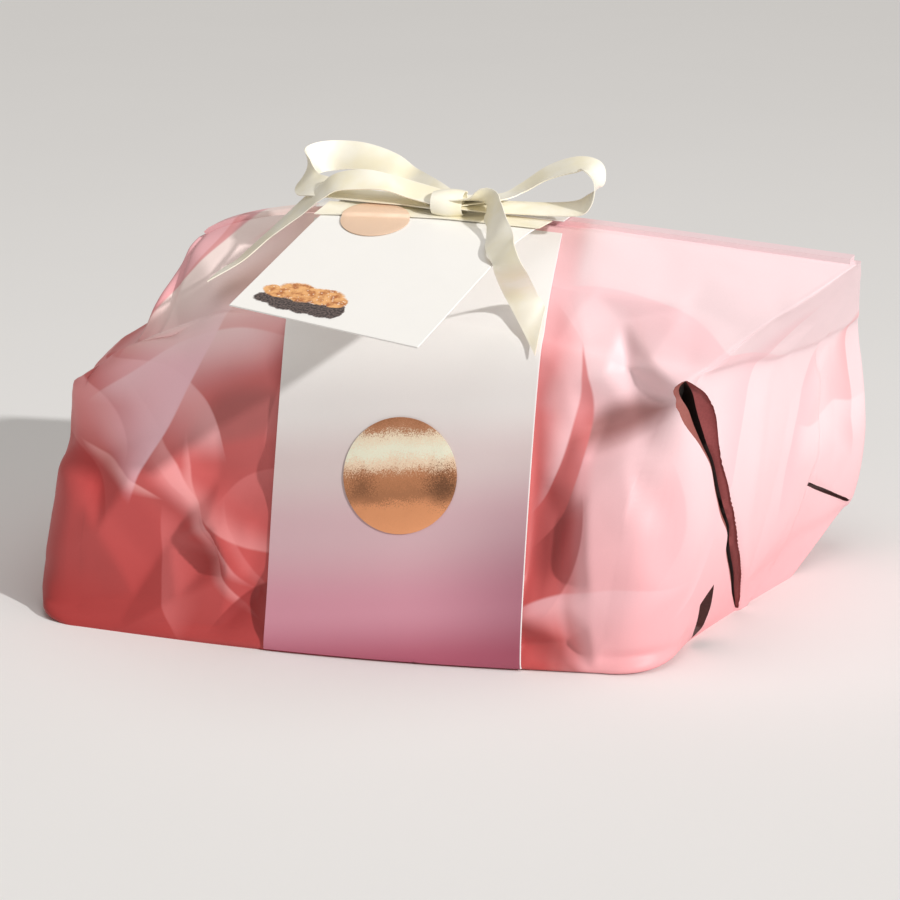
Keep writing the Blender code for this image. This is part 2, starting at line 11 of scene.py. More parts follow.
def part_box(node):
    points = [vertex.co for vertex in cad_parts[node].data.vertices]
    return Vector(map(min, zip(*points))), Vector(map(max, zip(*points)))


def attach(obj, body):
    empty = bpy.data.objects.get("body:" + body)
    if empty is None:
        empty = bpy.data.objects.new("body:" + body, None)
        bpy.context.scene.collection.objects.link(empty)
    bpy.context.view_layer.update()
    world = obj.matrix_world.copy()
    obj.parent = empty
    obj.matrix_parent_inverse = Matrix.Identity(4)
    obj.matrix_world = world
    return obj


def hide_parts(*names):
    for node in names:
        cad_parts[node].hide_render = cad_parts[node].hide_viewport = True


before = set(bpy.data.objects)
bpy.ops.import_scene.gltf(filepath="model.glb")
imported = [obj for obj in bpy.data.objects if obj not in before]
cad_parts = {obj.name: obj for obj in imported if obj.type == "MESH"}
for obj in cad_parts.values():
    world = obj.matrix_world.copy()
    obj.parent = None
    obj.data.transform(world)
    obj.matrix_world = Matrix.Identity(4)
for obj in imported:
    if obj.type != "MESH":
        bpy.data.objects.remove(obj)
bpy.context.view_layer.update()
print("frame loaded")


# Small tools for meshes and numbers

def lerp(a, b, t):
    return a + (b - a) * t


def smooth(low, high, value):
    t = np.clip((value - low) / (high - low), 0.0, 1.0)
    return t * t * (3 - 2 * t)


def unit(rows):
    return rows / np.maximum(np.linalg.norm(rows, axis=-1, keepdims=True), 1e-12)


def spline(a, b, c, d, t):
    return (b * 2 + (c - a) * t + (a * 2 - b * 5 + c * 4 - d) * t ** 2 + (b * 3 - a - c * 3 + d) * t ** 3) * 0.5


def tubeFaces(rings, size):
    # quads between closed rings of points
    return [(i * size + j, i * size + (j + 1) % size, (i + 1) * size + (j + 1) % size, (i + 1) * size + j)
            for i in range(rings - 1) for j in range(size)]


def newObject(name, data):
    thing = bpy.data.objects.new(name, data)
    bpy.context.scene.collection.objects.link(thing)
    return thing


def meshPiece(name, points, faces, materials, marks=None):
    mesh = bpy.data.meshes.new(name)
    mesh.from_pydata([tuple(point) for point in points], [], faces)
    for material in materials:
        mesh.materials.append(material)
    if marks is not None:
        mesh.polygons.foreach_set("material_index", marks)
    mesh.update()
    mesh.validate()
    piece = newObject(name, mesh)
    shadeSmooth(piece)
    return piece


def shadeSmooth(piece, sharpAngle=40):
    piece.data.shade_smooth()
    piece.data.set_sharp_from_angle(angle=radians(sharpAngle))


def faceOutwards(piece):
    bm = bmesh.new()
    bm.from_mesh(piece.data)
    bmesh.ops.remove_doubles(bm, verts=bm.verts, dist=1e-6)
    bmesh.ops.recalc_face_normals(bm, faces=bm.faces)
    if bm.calc_volume(signed=True) < 0:
        bmesh.ops.reverse_faces(bm, faces=bm.faces)
    bm.to_mesh(piece.data)
    bm.free()


def settle(piece):
    # turns what the modifiers make into a plain mesh
    graph = bpy.context.evaluated_depsgraph_get()
    mesh = bpy.data.meshes.new_from_object(piece.evaluated_get(graph))
    piece.modifiers.clear()
    old = piece.data
    piece.data = mesh
    bpy.data.meshes.remove(old)
    return piece


def pointsOf(piece):
    coords = np.empty(len(piece.data.vertices) * 3)
    piece.data.vertices.foreach_get("co", coords)
    return coords.reshape(-1, 3)


def setPoints(piece, coords):
    piece.data.vertices.foreach_set("co", coords.ravel())
    piece.data.update()


def joinPieces(name, parts):
    for other in bpy.context.selected_objects:
        other.select_set(False)
    for part in parts:
        part.select_set(True)
    bpy.context.view_layer.objects.active = parts[0]
    bpy.ops.object.join()
    parts[0].name = name
    parts[0].data.name = name
    return parts[0]


# Small tools for shader trees

def addNode(tree, kind, feeds=None, **settings):
    node = tree.nodes.new(kind)
    for key, value in settings.items():
        setattr(node, key, value)
    for key, value in (feeds or {}).items():
        if isinstance(value, bpy.types.NodeSocket):
            tree.links.new(value, node.inputs[key])
        else:
            node.inputs[key].default_value = value
    return node


def newGroup(name, inputs, outputs):
    tree = bpy.data.node_groups.new(name, "ShaderNodeTree")
    for label, kind, value in inputs:
        socket = tree.interface.new_socket(name=label, in_out="INPUT", socket_type=kind)
        socket.default_value = value
    for label, kind in outputs:
        tree.interface.new_socket(name=label, in_out="OUTPUT", socket_type=kind)
    return tree, tree.nodes.new("NodeGroupInput").outputs, tree.nodes.new("NodeGroupOutput")


def useGroup(tree, group, feeds):
    return addNode(tree, "ShaderNodeGroup", feeds, node_tree=group).outputs


def newMaterial(name, **shaderValues):
    material = bpy.data.materials.new(name)
    material.use_nodes = True
    tree = material.node_tree
    shader = tree.nodes["Principled BSDF"]
    for key, value in shaderValues.items():
        shader.inputs[key.replace("_", " ")].default_value = value
    return material, tree, shader


def colourRamp(tree, factor, stops):
    node = addNode(tree, "ShaderNodeValToRGB", {"Fac": factor})
    ramp = node.color_ramp
    ramp.interpolation = "EASE"
    while len(ramp.elements) < len(stops):
        ramp.elements.new(0.5)
    for element, (place, colour) in zip(ramp.elements, stops):
        element.position = place
        element.color = (*colour, 1.0)
    return node.outputs["Color"]


def mixColour(tree, factor, a, b, blend="MIX"):
    # a colour mix has its factor in socket 0, its colours in 6 and 7 and its result in 2
    a, b = (value if isinstance(value, bpy.types.NodeSocket) else (*value, 1.0) for value in (a, b))
    return addNode(tree, "ShaderNodeMix", {0: factor, 6: a, 7: b}, data_type="RGBA", blend_type=blend).outputs[2]


def math(tree, operation, a, b=0.0, c=0.0, clamp=False):
    return addNode(tree, "ShaderNodeMath", {0: a, 1: b, 2: c}, operation=operation, use_clamp=clamp).outputs[0]


def vectorMath(tree, operation, a, b=(0.0, 0.0, 0.0)):
    # a number for a dot product or a length, and otherwise a vector
    feeds = {0: a, "Scale": b} if operation == "SCALE" else {0: a, 1: b}
    node = addNode(tree, "ShaderNodeVectorMath", feeds, operation=operation)
    return node.outputs["Value" if operation in ("DOT_PRODUCT", "LENGTH") else "Vector"]


def mapRange(tree, value, low, high, start=0.0, end=1.0, kind="SMOOTHSTEP"):
    return addNode(tree, "ShaderNodeMapRange", {"Value": value, "From Min": low, "From Max": high, "To Min": start,
                                                "To Max": end}, interpolation_type=kind).outputs["Result"]


def noiseField(tree, place, scale, detail, roughness=0.5):
    return addNode(tree, "ShaderNodeTexNoise",
                   {"Vector": place, "Scale": scale, "Detail": detail, "Roughness": roughness}).outputs


def fromMiddle(tree, field):
    # a noise's factor, as how far it lies from its middle
    return math(tree, "SUBTRACT", field["Fac"], 0.5)


def objectPlace(tree):
    return addNode(tree, "ShaderNodeTexCoord").outputs["Object"]


def addBump(tree, shader, height, strength, distance):
    bump = addNode(tree, "ShaderNodeBump", {"Height": height, "Strength": strength, "Distance": distance})
    tree.links.new(bump.outputs["Normal"], shader.inputs["Normal"])


# Camera, light and floor

view = dict(azimuth=18.0, elevation=16.0, distance=1.72, lens=128.0, aim=(-0.01527, 0.03395, 0.072))
light = dict(
    keyWay=(0.80, -0.375, 0.47), keyStrength=2.42, keyAngle=2.0, keyColour=(1.0, 0.99, 0.975),
    skyColour=(1.0, 0.945, 0.88), skyStrength=0.31,
    topPlace=(0.25, -0.25, 1.7), topSize=1.3, topPower=8.5, floorColour=(0.86, 0.855, 0.85), floorReach=6.0)


def makeCamera():
    a, e = radians(view["azimuth"]), radians(view["elevation"])
    back = Vector((sin(a) * cos(e), -cos(a) * cos(e), sin(e)))
    camera = newObject("camera", bpy.data.cameras.new("camera"))
    camera.data.lens = view["lens"]
    camera.data.sensor_width = 36.0
    camera.location = Vector(view["aim"]) + back * view["distance"]
    camera.rotation_mode = "QUATERNION"
    camera.rotation_quaternion = (-back).to_track_quat("-Z", "Y")
    bpy.context.scene.camera = camera


def makeLamp(name, kind, energy, way):
    lamp = newObject(name, bpy.data.lights.new(name, kind))
    lamp.data.energy = energy
    lamp.rotation_mode = "QUATERNION"
    lamp.rotation_quaternion = Vector(way).to_track_quat("Z", "Y")
    return lamp


def makeLight():
    scene = bpy.context.scene
    scene.view_settings.view_transform = "Standard"
    key = makeLamp("key", "SUN", light["keyStrength"], light["keyWay"])
    key.data.angle = radians(light["keyAngle"])
    key.data.color = light["keyColour"]
    top = makeLamp("top", "AREA", light["topPower"], light["topPlace"])
    top.data.size = light["topSize"]
    top.location = light["topPlace"]
    sky = bpy.data.worlds.new("sky")
    sky.use_nodes = True
    glow = sky.node_tree.nodes["Background"].inputs
    glow["Color"].default_value = (*light["skyColour"], 1.0)
    glow["Strength"].default_value = light["skyStrength"]
    scene.world = sky


def makeFloor():
    reach = light["floorReach"]
    corners = [(-reach, -reach, 0.0), (reach, -reach, 0.0), (reach, reach, 0.0), (-reach, reach, 0.0)]
    material, tree, shader = newMaterial("paleFloor", Roughness=0.9)
    speckle = addNode(tree, "ShaderNodeTexNoise", {"Scale": 40.0, "Detail": 3.0})
    pale = light["floorColour"]
    tint = colourRamp(tree, speckle.outputs["Fac"], ((0.3, tuple(c * 0.99 for c in pale)), (0.7, pale)))
    tree.links.new(tint, shader.inputs["Base Color"])
    floor = meshPiece("floor", corners, [(0, 1, 2, 3)], [material])


makeCamera()
makeLight()
makeFloor()
print("camera, light and floor ready")


# Shader groups that several materials share

def makePaperFibre():
    # fine tooth of the paper and slow clouding of its print
    tree, given, out = newGroup(
        "paperFibre",
        (("Vector", "NodeSocketVector", (0, 0, 0)), ("Tooth", "NodeSocketFloat", 900.0),
         ("Cloud", "NodeSocketFloat", 22.0), ("Mottle", "NodeSocketFloat", 0.04)),
        (("Shade", "NodeSocketFloat"), ("Height", "NodeSocketFloat")))
    tooth = noiseField(tree, given["Vector"], given["Tooth"], 4.0, 0.6)
    cloud = noiseField(tree, given["Vector"], given["Cloud"], 5.0, 0.55)
    fibre = math(tree, "MULTIPLY_ADD", tooth["Fac"], 0.5, math(tree, "MULTIPLY", cloud["Fac"], 0.5))
    shade = math(tree, "MULTIPLY_ADD", math(tree, "SUBTRACT", fibre, 0.5), given["Mottle"], 1.0)
    tree.links.new(shade, out.inputs["Shade"])
    tree.links.new(tooth["Fac"], out.inputs["Height"])
    return tree


def makePetalStroke():
    # one leaf-shaped stroke: crisp along one rim, fading towards the other and towards its two tips
    tree, given, out = newGroup(
        "petalStroke",
        (("Vector", "NodeSocketVector", (0, 0, 0)), ("Centre", "NodeSocketVector", (0, 0, 0)),
         ("Along", "NodeSocketVector", (1, 0, 0)), ("Across", "NodeSocketVector", (0, 0, 1)),
         ("Length", "NodeSocketFloat", 0.1), ("Width", "NodeSocketFloat", 0.03), ("Bend", "NodeSocketFloat", 0.2),
         ("Edge", "NodeSocketFloat", 0.001), ("Fade", "NodeSocketFloat", 1.0), ("Reach", "NodeSocketFloat", 0.15)),
        (("Mask", "NodeSocketFloat"),))
    bend = noiseField(tree, given["Vector"], 9.0, 1.0)
    bent = vectorMath(tree, "SUBTRACT", bend["Color"], (0.5, 0.5, 0.5))
    moved = vectorMath(tree, "ADD", given["Vector"], vectorMath(tree, "SCALE", bent, 0.03))
    place = vectorMath(tree, "SUBTRACT", moved, given["Centre"])
    through = vectorMath(tree, "CROSS_PRODUCT", given["Along"], given["Across"])
    along, across, aside = (vectorMath(tree, "DOT_PRODUCT", place, way)
                            for way in (given["Along"], given["Across"], through))
    share = math(tree, "DIVIDE", along, given["Length"])
    squared = math(tree, "MULTIPLY", share, share)
    half = math(tree, "MULTIPLY", math(tree, "SUBTRACT", 1.0, squared), given["Width"])
    bow = math(tree, "MULTIPLY", math(tree, "MULTIPLY", squared, given["Length"]), given["Bend"])
    centred = math(tree, "SUBTRACT", across, bow)
    inside = math(tree, "SUBTRACT", half, math(tree, "ABSOLUTE", centred))
    rim = mapRange(tree, inside, 0.0, given["Edge"])
    lean = math(tree, "DIVIDE", centred, math(tree, "MAXIMUM", half, 0.0005))
    fade = mapRange(tree, lean, -1.0, given["Fade"])
    near = math(tree, "MULTIPLY", given["Reach"], 0.8)
    far = mapRange(tree, math(tree, "ABSOLUTE", aside), near, given["Reach"], 1.0, 0.0)
    tips = mapRange(tree, squared, 1.0, 0.25)
    mask = math(tree, "MULTIPLY", math(tree, "MULTIPLY", rim, fade), math(tree, "MULTIPLY", tips, far))
    tree.links.new(mask, out.inputs["Mask"])
    return tree


paperFibre = makePaperFibre()
petalStroke = makePetalStroke()


def finishPaper(tree, shader, place, colour, paper):
    # shades a print with the paper's fibre; a paper's grain is its tooth, cloud and mottle
    fibre = useGroup(tree, paperFibre, {"Vector": place, **dict(zip(("Tooth", "Cloud", "Mottle"), paper["grain"]))})
    tree.links.new(vectorMath(tree, "SCALE", colour, fibre["Shade"]), shader.inputs["Base Color"])
    addBump(tree, shader, fibre["Height"], paper["bump"], 0.0002)
    return fibre


# Wrap: the loops from sole to ridge, and what the paper does between them

wrapShape = dict(
    loops=(
        dict(corners=((-0.162, -0.138, 0.000), (0.153, -0.120, 0.000), (0.196, 0.074, 0.000), (-0.148, 0.098, 0.000)),
             swell=(0.011, -0.002, 0.008, 0.004), radius=0.020, rise=0.0),
        dict(corners=((-0.173, -0.135, 0.006), (0.162, -0.124, 0.004), (0.213, 0.124, 0.024), (-0.162, 0.116, 0.008)),
             swell=(0.012, -0.006, 0.008, 0.004), radius=0.026, rise=0.0),
        dict(corners=((-0.176, -0.121, 0.030), (0.167, -0.123, 0.030), (0.220, 0.130, 0.040), (-0.170, 0.122, 0.032)),
             swell=(0.015, -0.005, 0.008, 0.006), radius=0.028, rise=0.0),
        dict(corners=((-0.168, -0.112, 0.082), (0.172, -0.112, 0.086), (0.222, 0.129, 0.080), (-0.164, 0.118, 0.080)),
             swell=(0.014, 0.000, 0.008, 0.006), radius=0.026, rise=0.0),
        dict(corners=((-0.154, -0.111, 0.123), (0.174, -0.102, 0.143), (0.213, 0.122, 0.125), (-0.150, 0.104, 0.122)),
             swell=(-0.002, 0.008, 0.006, 0.006), radius=0.010, rise=0.026),
        dict(corners=((-0.125, -0.099, 0.141), (0.186, -0.092, 0.156), (0.219, 0.090, 0.142), (-0.136, 0.078, 0.138)),
             swell=(0.000, 0.007, 0.005, 0.005), radius=0.008, rise=0.026),
        dict(corners=((-0.116, -0.076, 0.166), (0.212, -0.076, 0.178), (0.228, 0.040, 0.165), (-0.122, 0.030, 0.164)),
             swell=(0.008, 0.004, 0.003, 0.003), radius=0.006, rise=0.016),
        dict(corners=((-0.105, -0.053, 0.191), (0.243, -0.050, 0.2003), (0.243, -0.040, 0.2003),
                      (-0.105, -0.042, 0.191)),
             swell=(0.011, 0.000, 0.001, 0.000), radius=0.003, rise=0.019)),
    riseSkew=0.62, sideSteps=(200, 100, 200, 100), cornerSteps=9, stepsBetweenLoops=18, soleGroove=0.0022)


def sidePoints(start, end, swell, rise, side):
    t = np.linspace(0.0, 1.0, wrapShape["sideSteps"][side] + 1)[:, None]
    outward = unit(np.array([end[1] - start[1], start[0] - end[0], 0.0]))
    fromLeft = 1 - t if side == 2 else t
    points = start * (1 - t) + end * t + outward * (swell * np.sin(pi * t))
    points[:, 2:] += rise * np.sin(pi * fromLeft ** wrapShape["riseSkew"])
    return points


def loopPoints(loop):
    corners = np.array(loop["corners"])
    sides = []
    for i in range(4):
        start, end = corners[i], corners[(i + 1) % 4]
        length = np.linalg.norm(end - start)
        along = (end - start) / length * min(loop["radius"], length * 0.35)
        rise = loop["rise"] if i in (0, 2) else 0.0
        sides.append(sidePoints(start + along, end - along, loop["swell"][i], rise, i))
    points = []
    for i in range(4):
        before, corner, after = sides[i][-1], corners[(i + 1) % 4], sides[(i + 1) % 4][0]
        t = (np.arange(1, wrapShape["cornerSteps"]) / wrapShape["cornerSteps"])[:, None]
        points += [sides[i], before * (1 - t) ** 2 + corner * (2 * t * (1 - t)) + after * t ** 2]
    return np.concatenate(points)


def wrapRows():
    named = [loopPoints(loop) for loop in wrapShape["loops"]]
    steps = wrapShape["stepsBetweenLoops"]
    rows = [named[0]]
    for i in range(len(named) - 1):
        before, after = named[max(i - 1, 0)], named[min(i + 2, len(named) - 1)]
        rows += [spline(before, named[i], named[i + 1], after, step / steps) for step in range(1, steps + 1)]
    rows = np.array(rows)
    rows[:, :, 2] = np.maximum(rows[:, :, 2], 0.0)
    return rows


def sideStart(side):
    return sum(wrapShape["sideSteps"][:side]) + side * wrapShape["cornerSteps"]


def sideColumns(side):
    return slice(sideStart(side), sideStart(side) + wrapShape["sideSteps"][side] + 1)


plainRows = wrapRows()
front, back = (plainRows[:, sideColumns(side)] for side in (0, 2))


def section(x):
    # front and back of the wrap at one place along it, both from the sole up
    ahead = np.array([[x, np.interp(x, row[:, 0], row[:, 1]), np.interp(x, row[:, 0], row[:, 2])] for row in front])
    behind = np.array([[x, np.interp(-x, -row[:, 0], row[:, 1]), np.interp(-x, -row[:, 0], row[:, 2])]
                       for row in back])
    return ahead, behind


def gridNormals(rows):
    around = np.roll(rows, -1, axis=1) - np.roll(rows, 1, axis=1)
    upwards = np.gradient(rows, axis=0)
    return unit(np.cross(around, upwards))


def nearPath(points, path):
    # how far each point lies from a path, and how far along the path its nearest place is
    path = np.array(path)
    lengths = np.linalg.norm(np.diff(path, axis=0), axis=1)
    total, gone = lengths.sum(), 0.0
    best, along = np.full(len(points), 1e9), np.zeros(len(points))
    for a, b, length in zip(path, path[1:], lengths):
        t = np.clip((points - a) @ (b - a) / length ** 2, 0.0, 1.0)
        distance = np.linalg.norm(points - a - t[:, None] * (b - a), axis=1)
        closer = distance < best
        best[closer] = distance[closer]
        along[closer] = (gone + t[closer] * length) / total
        gone += length
    return best, along


# Flat facets of the paper: (place along, height, how far it stands out) at the corners where folds meet.
# Front and back go by x and z, the two ends by y and z. Between the corners the paper is flat.
facets = dict(
    front=(
        (-0.230, 0.000, 0.0), (-0.230, 0.090, 0.0), (-0.230, 0.230, 0.0), (0.280, 0.000, 0.0), (0.280, 0.110, 0.0),
        (0.280, 0.230, 0.0), (-0.037, 0.230, 0.0), (0.097, 0.260, 0.0),
        # left of the band: ear, shoulder, shaded hollow, star of folds, pinches by the band, foot
        (-0.156, 0.119, 0.0016), (-0.127, 0.137, 0.0024), (-0.0712, 0.1618, 0.0022), (-0.0390, 0.166, 0.0),
        (-0.0760, 0.126, -0.0100), (-0.0980, 0.104, -0.0058), (-0.0390, 0.128, -0.0024), (-0.0390, 0.100, -0.0016),
        (-0.1142, 0.0788, 0.0062), (-0.0689, 0.0582, 0.0056), (-0.0390, 0.0652, 0.0004), (-0.0720, 0.0800, -0.0058),
        (-0.0390, 0.0860, -0.0030), (-0.1650, 0.0905, -0.0048), (-0.1384, 0.0835, -0.0030), (-0.1580, 0.0740, 0.0036),
        (-0.1350, 0.0480, 0.0066), (-0.0980, 0.0480, -0.0050), (-0.0698, 0.0450, -0.0068), (-0.0580, 0.0360, 0.0034),
        (-0.0467, 0.0258, -0.0066), (-0.0390, 0.0400, 0.0), (-0.0873, 0.0200, 0.0026), (-0.1150, 0.0180, -0.0038),
        (-0.1547, 0.0108, -0.0040), (-0.1760, 0.0280, 0.0), (-0.0630, 0.0090, -0.0034), (-0.0390, 0.0120, -0.0040),
        (-0.1200, 0.0000, 0.0), (-0.0390, 0.0000, 0.0),
        # left part of the roof
        (-0.1130, 0.1670, -0.0032), (-0.0920, 0.1800, 0.0026), (-0.0720, 0.1960, -0.0028), (-0.0390, 0.1950, 0.0),
        # the band's stretch
        (0.0300, 0.0000, 0.0), (0.0300, 0.1200, 0.0), (0.0300, 0.2000, 0.0), (0.0970, 0.2050, 0.0),
        (0.0970, 0.1560, 0.0), (0.0970, 0.1300, -0.0036), (0.0970, 0.1000, -0.0105), (0.0970, 0.0700, -0.0130),
        (0.0970, 0.0480, -0.0110), (0.0970, 0.0290, -0.0006), (0.0970, 0.0120, -0.0080), (0.0970, 0.0000, 0.0),
        # right of the band: hollow, sharp flank, bulge, smoky fold under the roof, undercut foot
        (0.1100, 0.1060, -0.0080), (0.1120, 0.0720, -0.0095), (0.1130, 0.0480, -0.0085), (0.1150, 0.0350, -0.0010),
        (0.1235, 0.1030, -0.0020), (0.1245, 0.0880, 0.0026), (0.1265, 0.0600, 0.0060), (0.1290, 0.0420, 0.0036),
        (0.1290, 0.0260, 0.0014), (0.1180, 0.0130, -0.0095), (0.1320, 0.0095, 0.0), (0.1320, 0.0000, 0.0),
        (0.1150, 0.1200, -0.0080), (0.1290, 0.1250, -0.0150), (0.1440, 0.1290, -0.0140), (0.1590, 0.1370, -0.0090),
        (0.1100, 0.1430, 0.0010), (0.1290, 0.1480, 0.0004), (0.1395, 0.1520, -0.0080), (0.1331, 0.1740, -0.0034),
        (0.1500, 0.1560, 0.0020), (0.1420, 0.1080, 0.0020), (0.1500, 0.0760, 0.0074), (0.1590, 0.0830, -0.0010),
        (0.1660, 0.1050, 0.0004), (0.1540, 0.1150, -0.0024), (0.1540, 0.0500, 0.0056), (0.1640, 0.0620, -0.0006),
        (0.1450, 0.0220, 0.0024), (0.1560, 0.0090, -0.0036), (0.1740, 0.0400, 0.0), (0.1740, 0.1400, 0.0),
        (0.1180, 0.1840, 0.0018), (0.1650, 0.1800, 0.0)),
    back=(
        (-0.230, 0.000, 0.0), (-0.230, 0.230, 0.0), (0.290, 0.000, 0.0), (0.290, 0.230, 0.0), (-0.030, 0.230, 0.0),
        (-0.120, 0.108, -0.0052), (-0.085, 0.070, 0.0036), (-0.140, 0.050, 0.0030), (-0.055, 0.110, 0.0012),
        (-0.060, 0.028, -0.0040), (-0.105, 0.015, 0.0), (-0.100, 0.150, 0.0020), (-0.070, 0.175, -0.0028),
        (-0.039, 0.060, 0.0), (-0.039, 0.130, 0.0), (0.030, 0.000, 0.0), (0.030, 0.120, 0.0), (0.097, 0.130, 0.0),
        (0.097, 0.060, -0.0030), (0.125, 0.100, -0.0058), (0.150, 0.070, 0.0044), (0.120, 0.045, 0.0036),
        (0.175, 0.105, 0.0020), (0.165, 0.030, -0.0040), (0.120, 0.016, -0.0010), (0.150, 0.150, -0.0036),
        (0.110, 0.170, 0.0022), (0.190, 0.150, 0.0014), (0.205, 0.060, 0.0)),
    right=(
        (-0.160, 0.000, 0.0), (-0.160, 0.230, 0.0), (0.180, 0.000, 0.0), (0.180, 0.230, 0.0),
        (-0.033, 0.123, 0.0014), (-0.035, 0.060, 0.0018), (-0.015, 0.015, -0.0008), (0.008, 0.110, -0.0016),
        (0.000, 0.055, -0.0020), (0.028, 0.095, 0.0012), (0.022, 0.040, 0.0006), (0.075, 0.100, -0.0024),
        (0.105, 0.075, 0.0012), (0.070, 0.062, 0.0008), (0.060, 0.135, 0.0014), (-0.058, 0.150, -0.0016),
        (-0.020, 0.165, 0.0010), (0.060, 0.025, -0.0016), (-0.072, 0.060, 0.0), (-0.080, 0.110, 0.0)),
    left=(
        (-0.170, 0.000, 0.0), (-0.170, 0.230, 0.0), (0.160, 0.000, 0.0), (0.160, 0.230, 0.0),
        (-0.060, 0.095, -0.0020), (-0.020, 0.110, 0.0024), (0.010, 0.070, -0.0030), (-0.010, 0.030, 0.0020),
        (0.050, 0.100, 0.0024), (0.070, 0.050, -0.0026), (0.030, 0.020, 0.0), (0.080, 0.100, 0.0)))
# Single folds: below zero a valley, above zero a ridge
creases = (
    dict(path=((-0.1500, -0.1085, 0.1240), (-0.1520, -0.1090, 0.1225)), width=0.009, depth=0.0034, power=1.4),
    dict(path=((-0.1114, -0.1167, 0.0818), (-0.0660, -0.1270, 0.0560), (-0.0500, -0.1340, 0.0240)), width=0.010,
         depth=0.0030, power=1.0),
    dict(path=((-0.1114, -0.1167, 0.0818), (-0.0622, -0.1217, 0.0876), (-0.0400, -0.1226, 0.0920)), width=0.013,
         depth=-0.0024, power=1.0),
    dict(path=((-0.1700, -0.1080, 0.0930), (-0.1400, -0.1120, 0.0860), (-0.1114, -0.1167, 0.0818)), width=0.010,
         depth=0.0018, power=1.0),
    dict(path=((-0.1114, -0.1167, 0.0818), (-0.0950, -0.1130, 0.1150), (-0.0712, -0.1037, 0.1618)), width=0.012,
         depth=0.0020, power=1.0),
    dict(path=((-0.1500, -0.1100, 0.1210), (-0.1270, -0.1100, 0.1370), (-0.1050, -0.1086, 0.1467),
               (-0.0712, -0.1037, 0.1618)), width=0.010, depth=0.0014, power=1.1),
    dict(path=((0.203, -0.036, 0.170), (0.1921, -0.0335, 0.1231), (0.1865, -0.0353, 0.0593),
               (0.1809, -0.0153, 0.0146)), width=0.012, depth=0.0010, power=1.1),
    dict(path=((0.160, -0.079, 0.184), (0.190, -0.082, 0.172), (0.214, -0.066, 0.176)),
         width=0.018, depth=-0.0016, power=1.3),
    dict(path=((0.1360, -0.1240, 0.0080), (0.1557, -0.1165, 0.0080), (0.1690, -0.0850, 0.0140)),
         width=0.007, depth=-0.0024, power=1.0))
crumple = dict(waves=((0.075, 0.0012), (0.019, 0.00030)), rounding=1, seed=Vector((3.1, 7.7, 1.9)))
# where the paper lies calm: nothing stands out under the band, less lies in there, and foot and ridge are plain
calmPlaces = dict(raised=((-0.052, -0.040), (0.0985, 0.112)), sunk=((-0.040, -0.026), (0.086, 0.0965)),
                  foot=(0.0, 0.010), ridge=(0.188, 0.197), ridgeStart=-0.105, ridgeLength=0.348, ridgeRise=0.02)


def facetRise(corners, places, heights):
    # how far flat facets between the given corners stand out
    spots = [Vector(corner[:2]) for corner in corners]
    verts, _, triangles, kept, _, _ = geometry.delaunay_2d_cdt(spots, [], [], 0, 1e-6)
    rises = [corners[origin[0]][2] for origin in kept]
    rise = np.zeros(len(places))
    for triangle in triangles:
        (ax, ay), (bx, by), (cx, cy) = (verts[n] for n in triangle)
        area = (bx - ax) * (cy - ay) - (by - ay) * (cx - ax)
        v = ((places - ax) * (cy - ay) - (heights - ay) * (cx - ax)) / area
        w = ((bx - ax) * (heights - ay) - (by - ay) * (places - ax)) / area
        inside = (v >= -1e-9) & (w >= -1e-9) & (v + w <= 1 + 1e-9)
        a, b, c = (rises[n] for n in triangle)
        rise[inside] = (a + (b - a) * v + (c - a) * w)[inside]
    return rise


def creasedRows(rows, normals):
    points, ways = rows.reshape(-1, 3), normals.reshape(-1, 3)
    x, y, z = points.T
    rise = np.zeros(len(points))
    for name, place, facing in (("front", x, -ways[:, 1]), ("back", x, ways[:, 1]), ("right", y, ways[:, 0]),
                                ("left", y, -ways[:, 0])):
        rise += facetRise(facets[name], place, z) * smooth(0.15, 0.55, facing)
    for crease in creases:
        distance, along = nearPath(points, crease["path"])
        ends = smooth(0.0, 0.12, along) * smooth(0.0, 0.12, 1 - along) * 0.7 + 0.3
        rise += crease["depth"] * np.clip(1 - distance / crease["width"], 0, 1) ** crease["power"] * ends
    grid = rise.reshape(rows.shape[:2])
    for _ in range(crumple["rounding"]):
        grid = (np.roll(grid, 1, axis=1) + grid * 2 + np.roll(grid, -1, axis=1)) / 4
        grid[1:-1] = (grid[:-2] + grid[1:-1] * 2 + grid[2:]) / 4
    rise = grid.ravel()
    for wave, depth in crumple["waves"]:
        folds = np.array([abs(noise.noise(Vector(p) / wave + crumple["seed"])) for p in points])
        rise += depth * (folds - 0.25)
    underBand, deepUnderBand = (smooth(*calmPlaces[name][0], x) * (1 - smooth(*calmPlaces[name][1], x))
                                for name in ("raised", "sunk"))
    alongRidge = np.clip((x - calmPlaces["ridgeStart"]) / calmPlaces["ridgeLength"], 0, 1)
    ridgeHeight = calmPlaces["ridgeRise"] * np.sin(pi * alongRidge)
    calm = smooth(*calmPlaces["foot"], z) * (1 - smooth(*calmPlaces["ridge"], z - ridgeHeight))
    rise = np.where(rise > 0, rise * (1 - underBand), rise * (1 - deepUnderBand)) * calm
    # the creased paper keeps to the room that the plain wrap takes up
    return np.clip(points + ways * rise[:, None], points.min(axis=0), points.max(axis=0)).reshape(rows.shape)


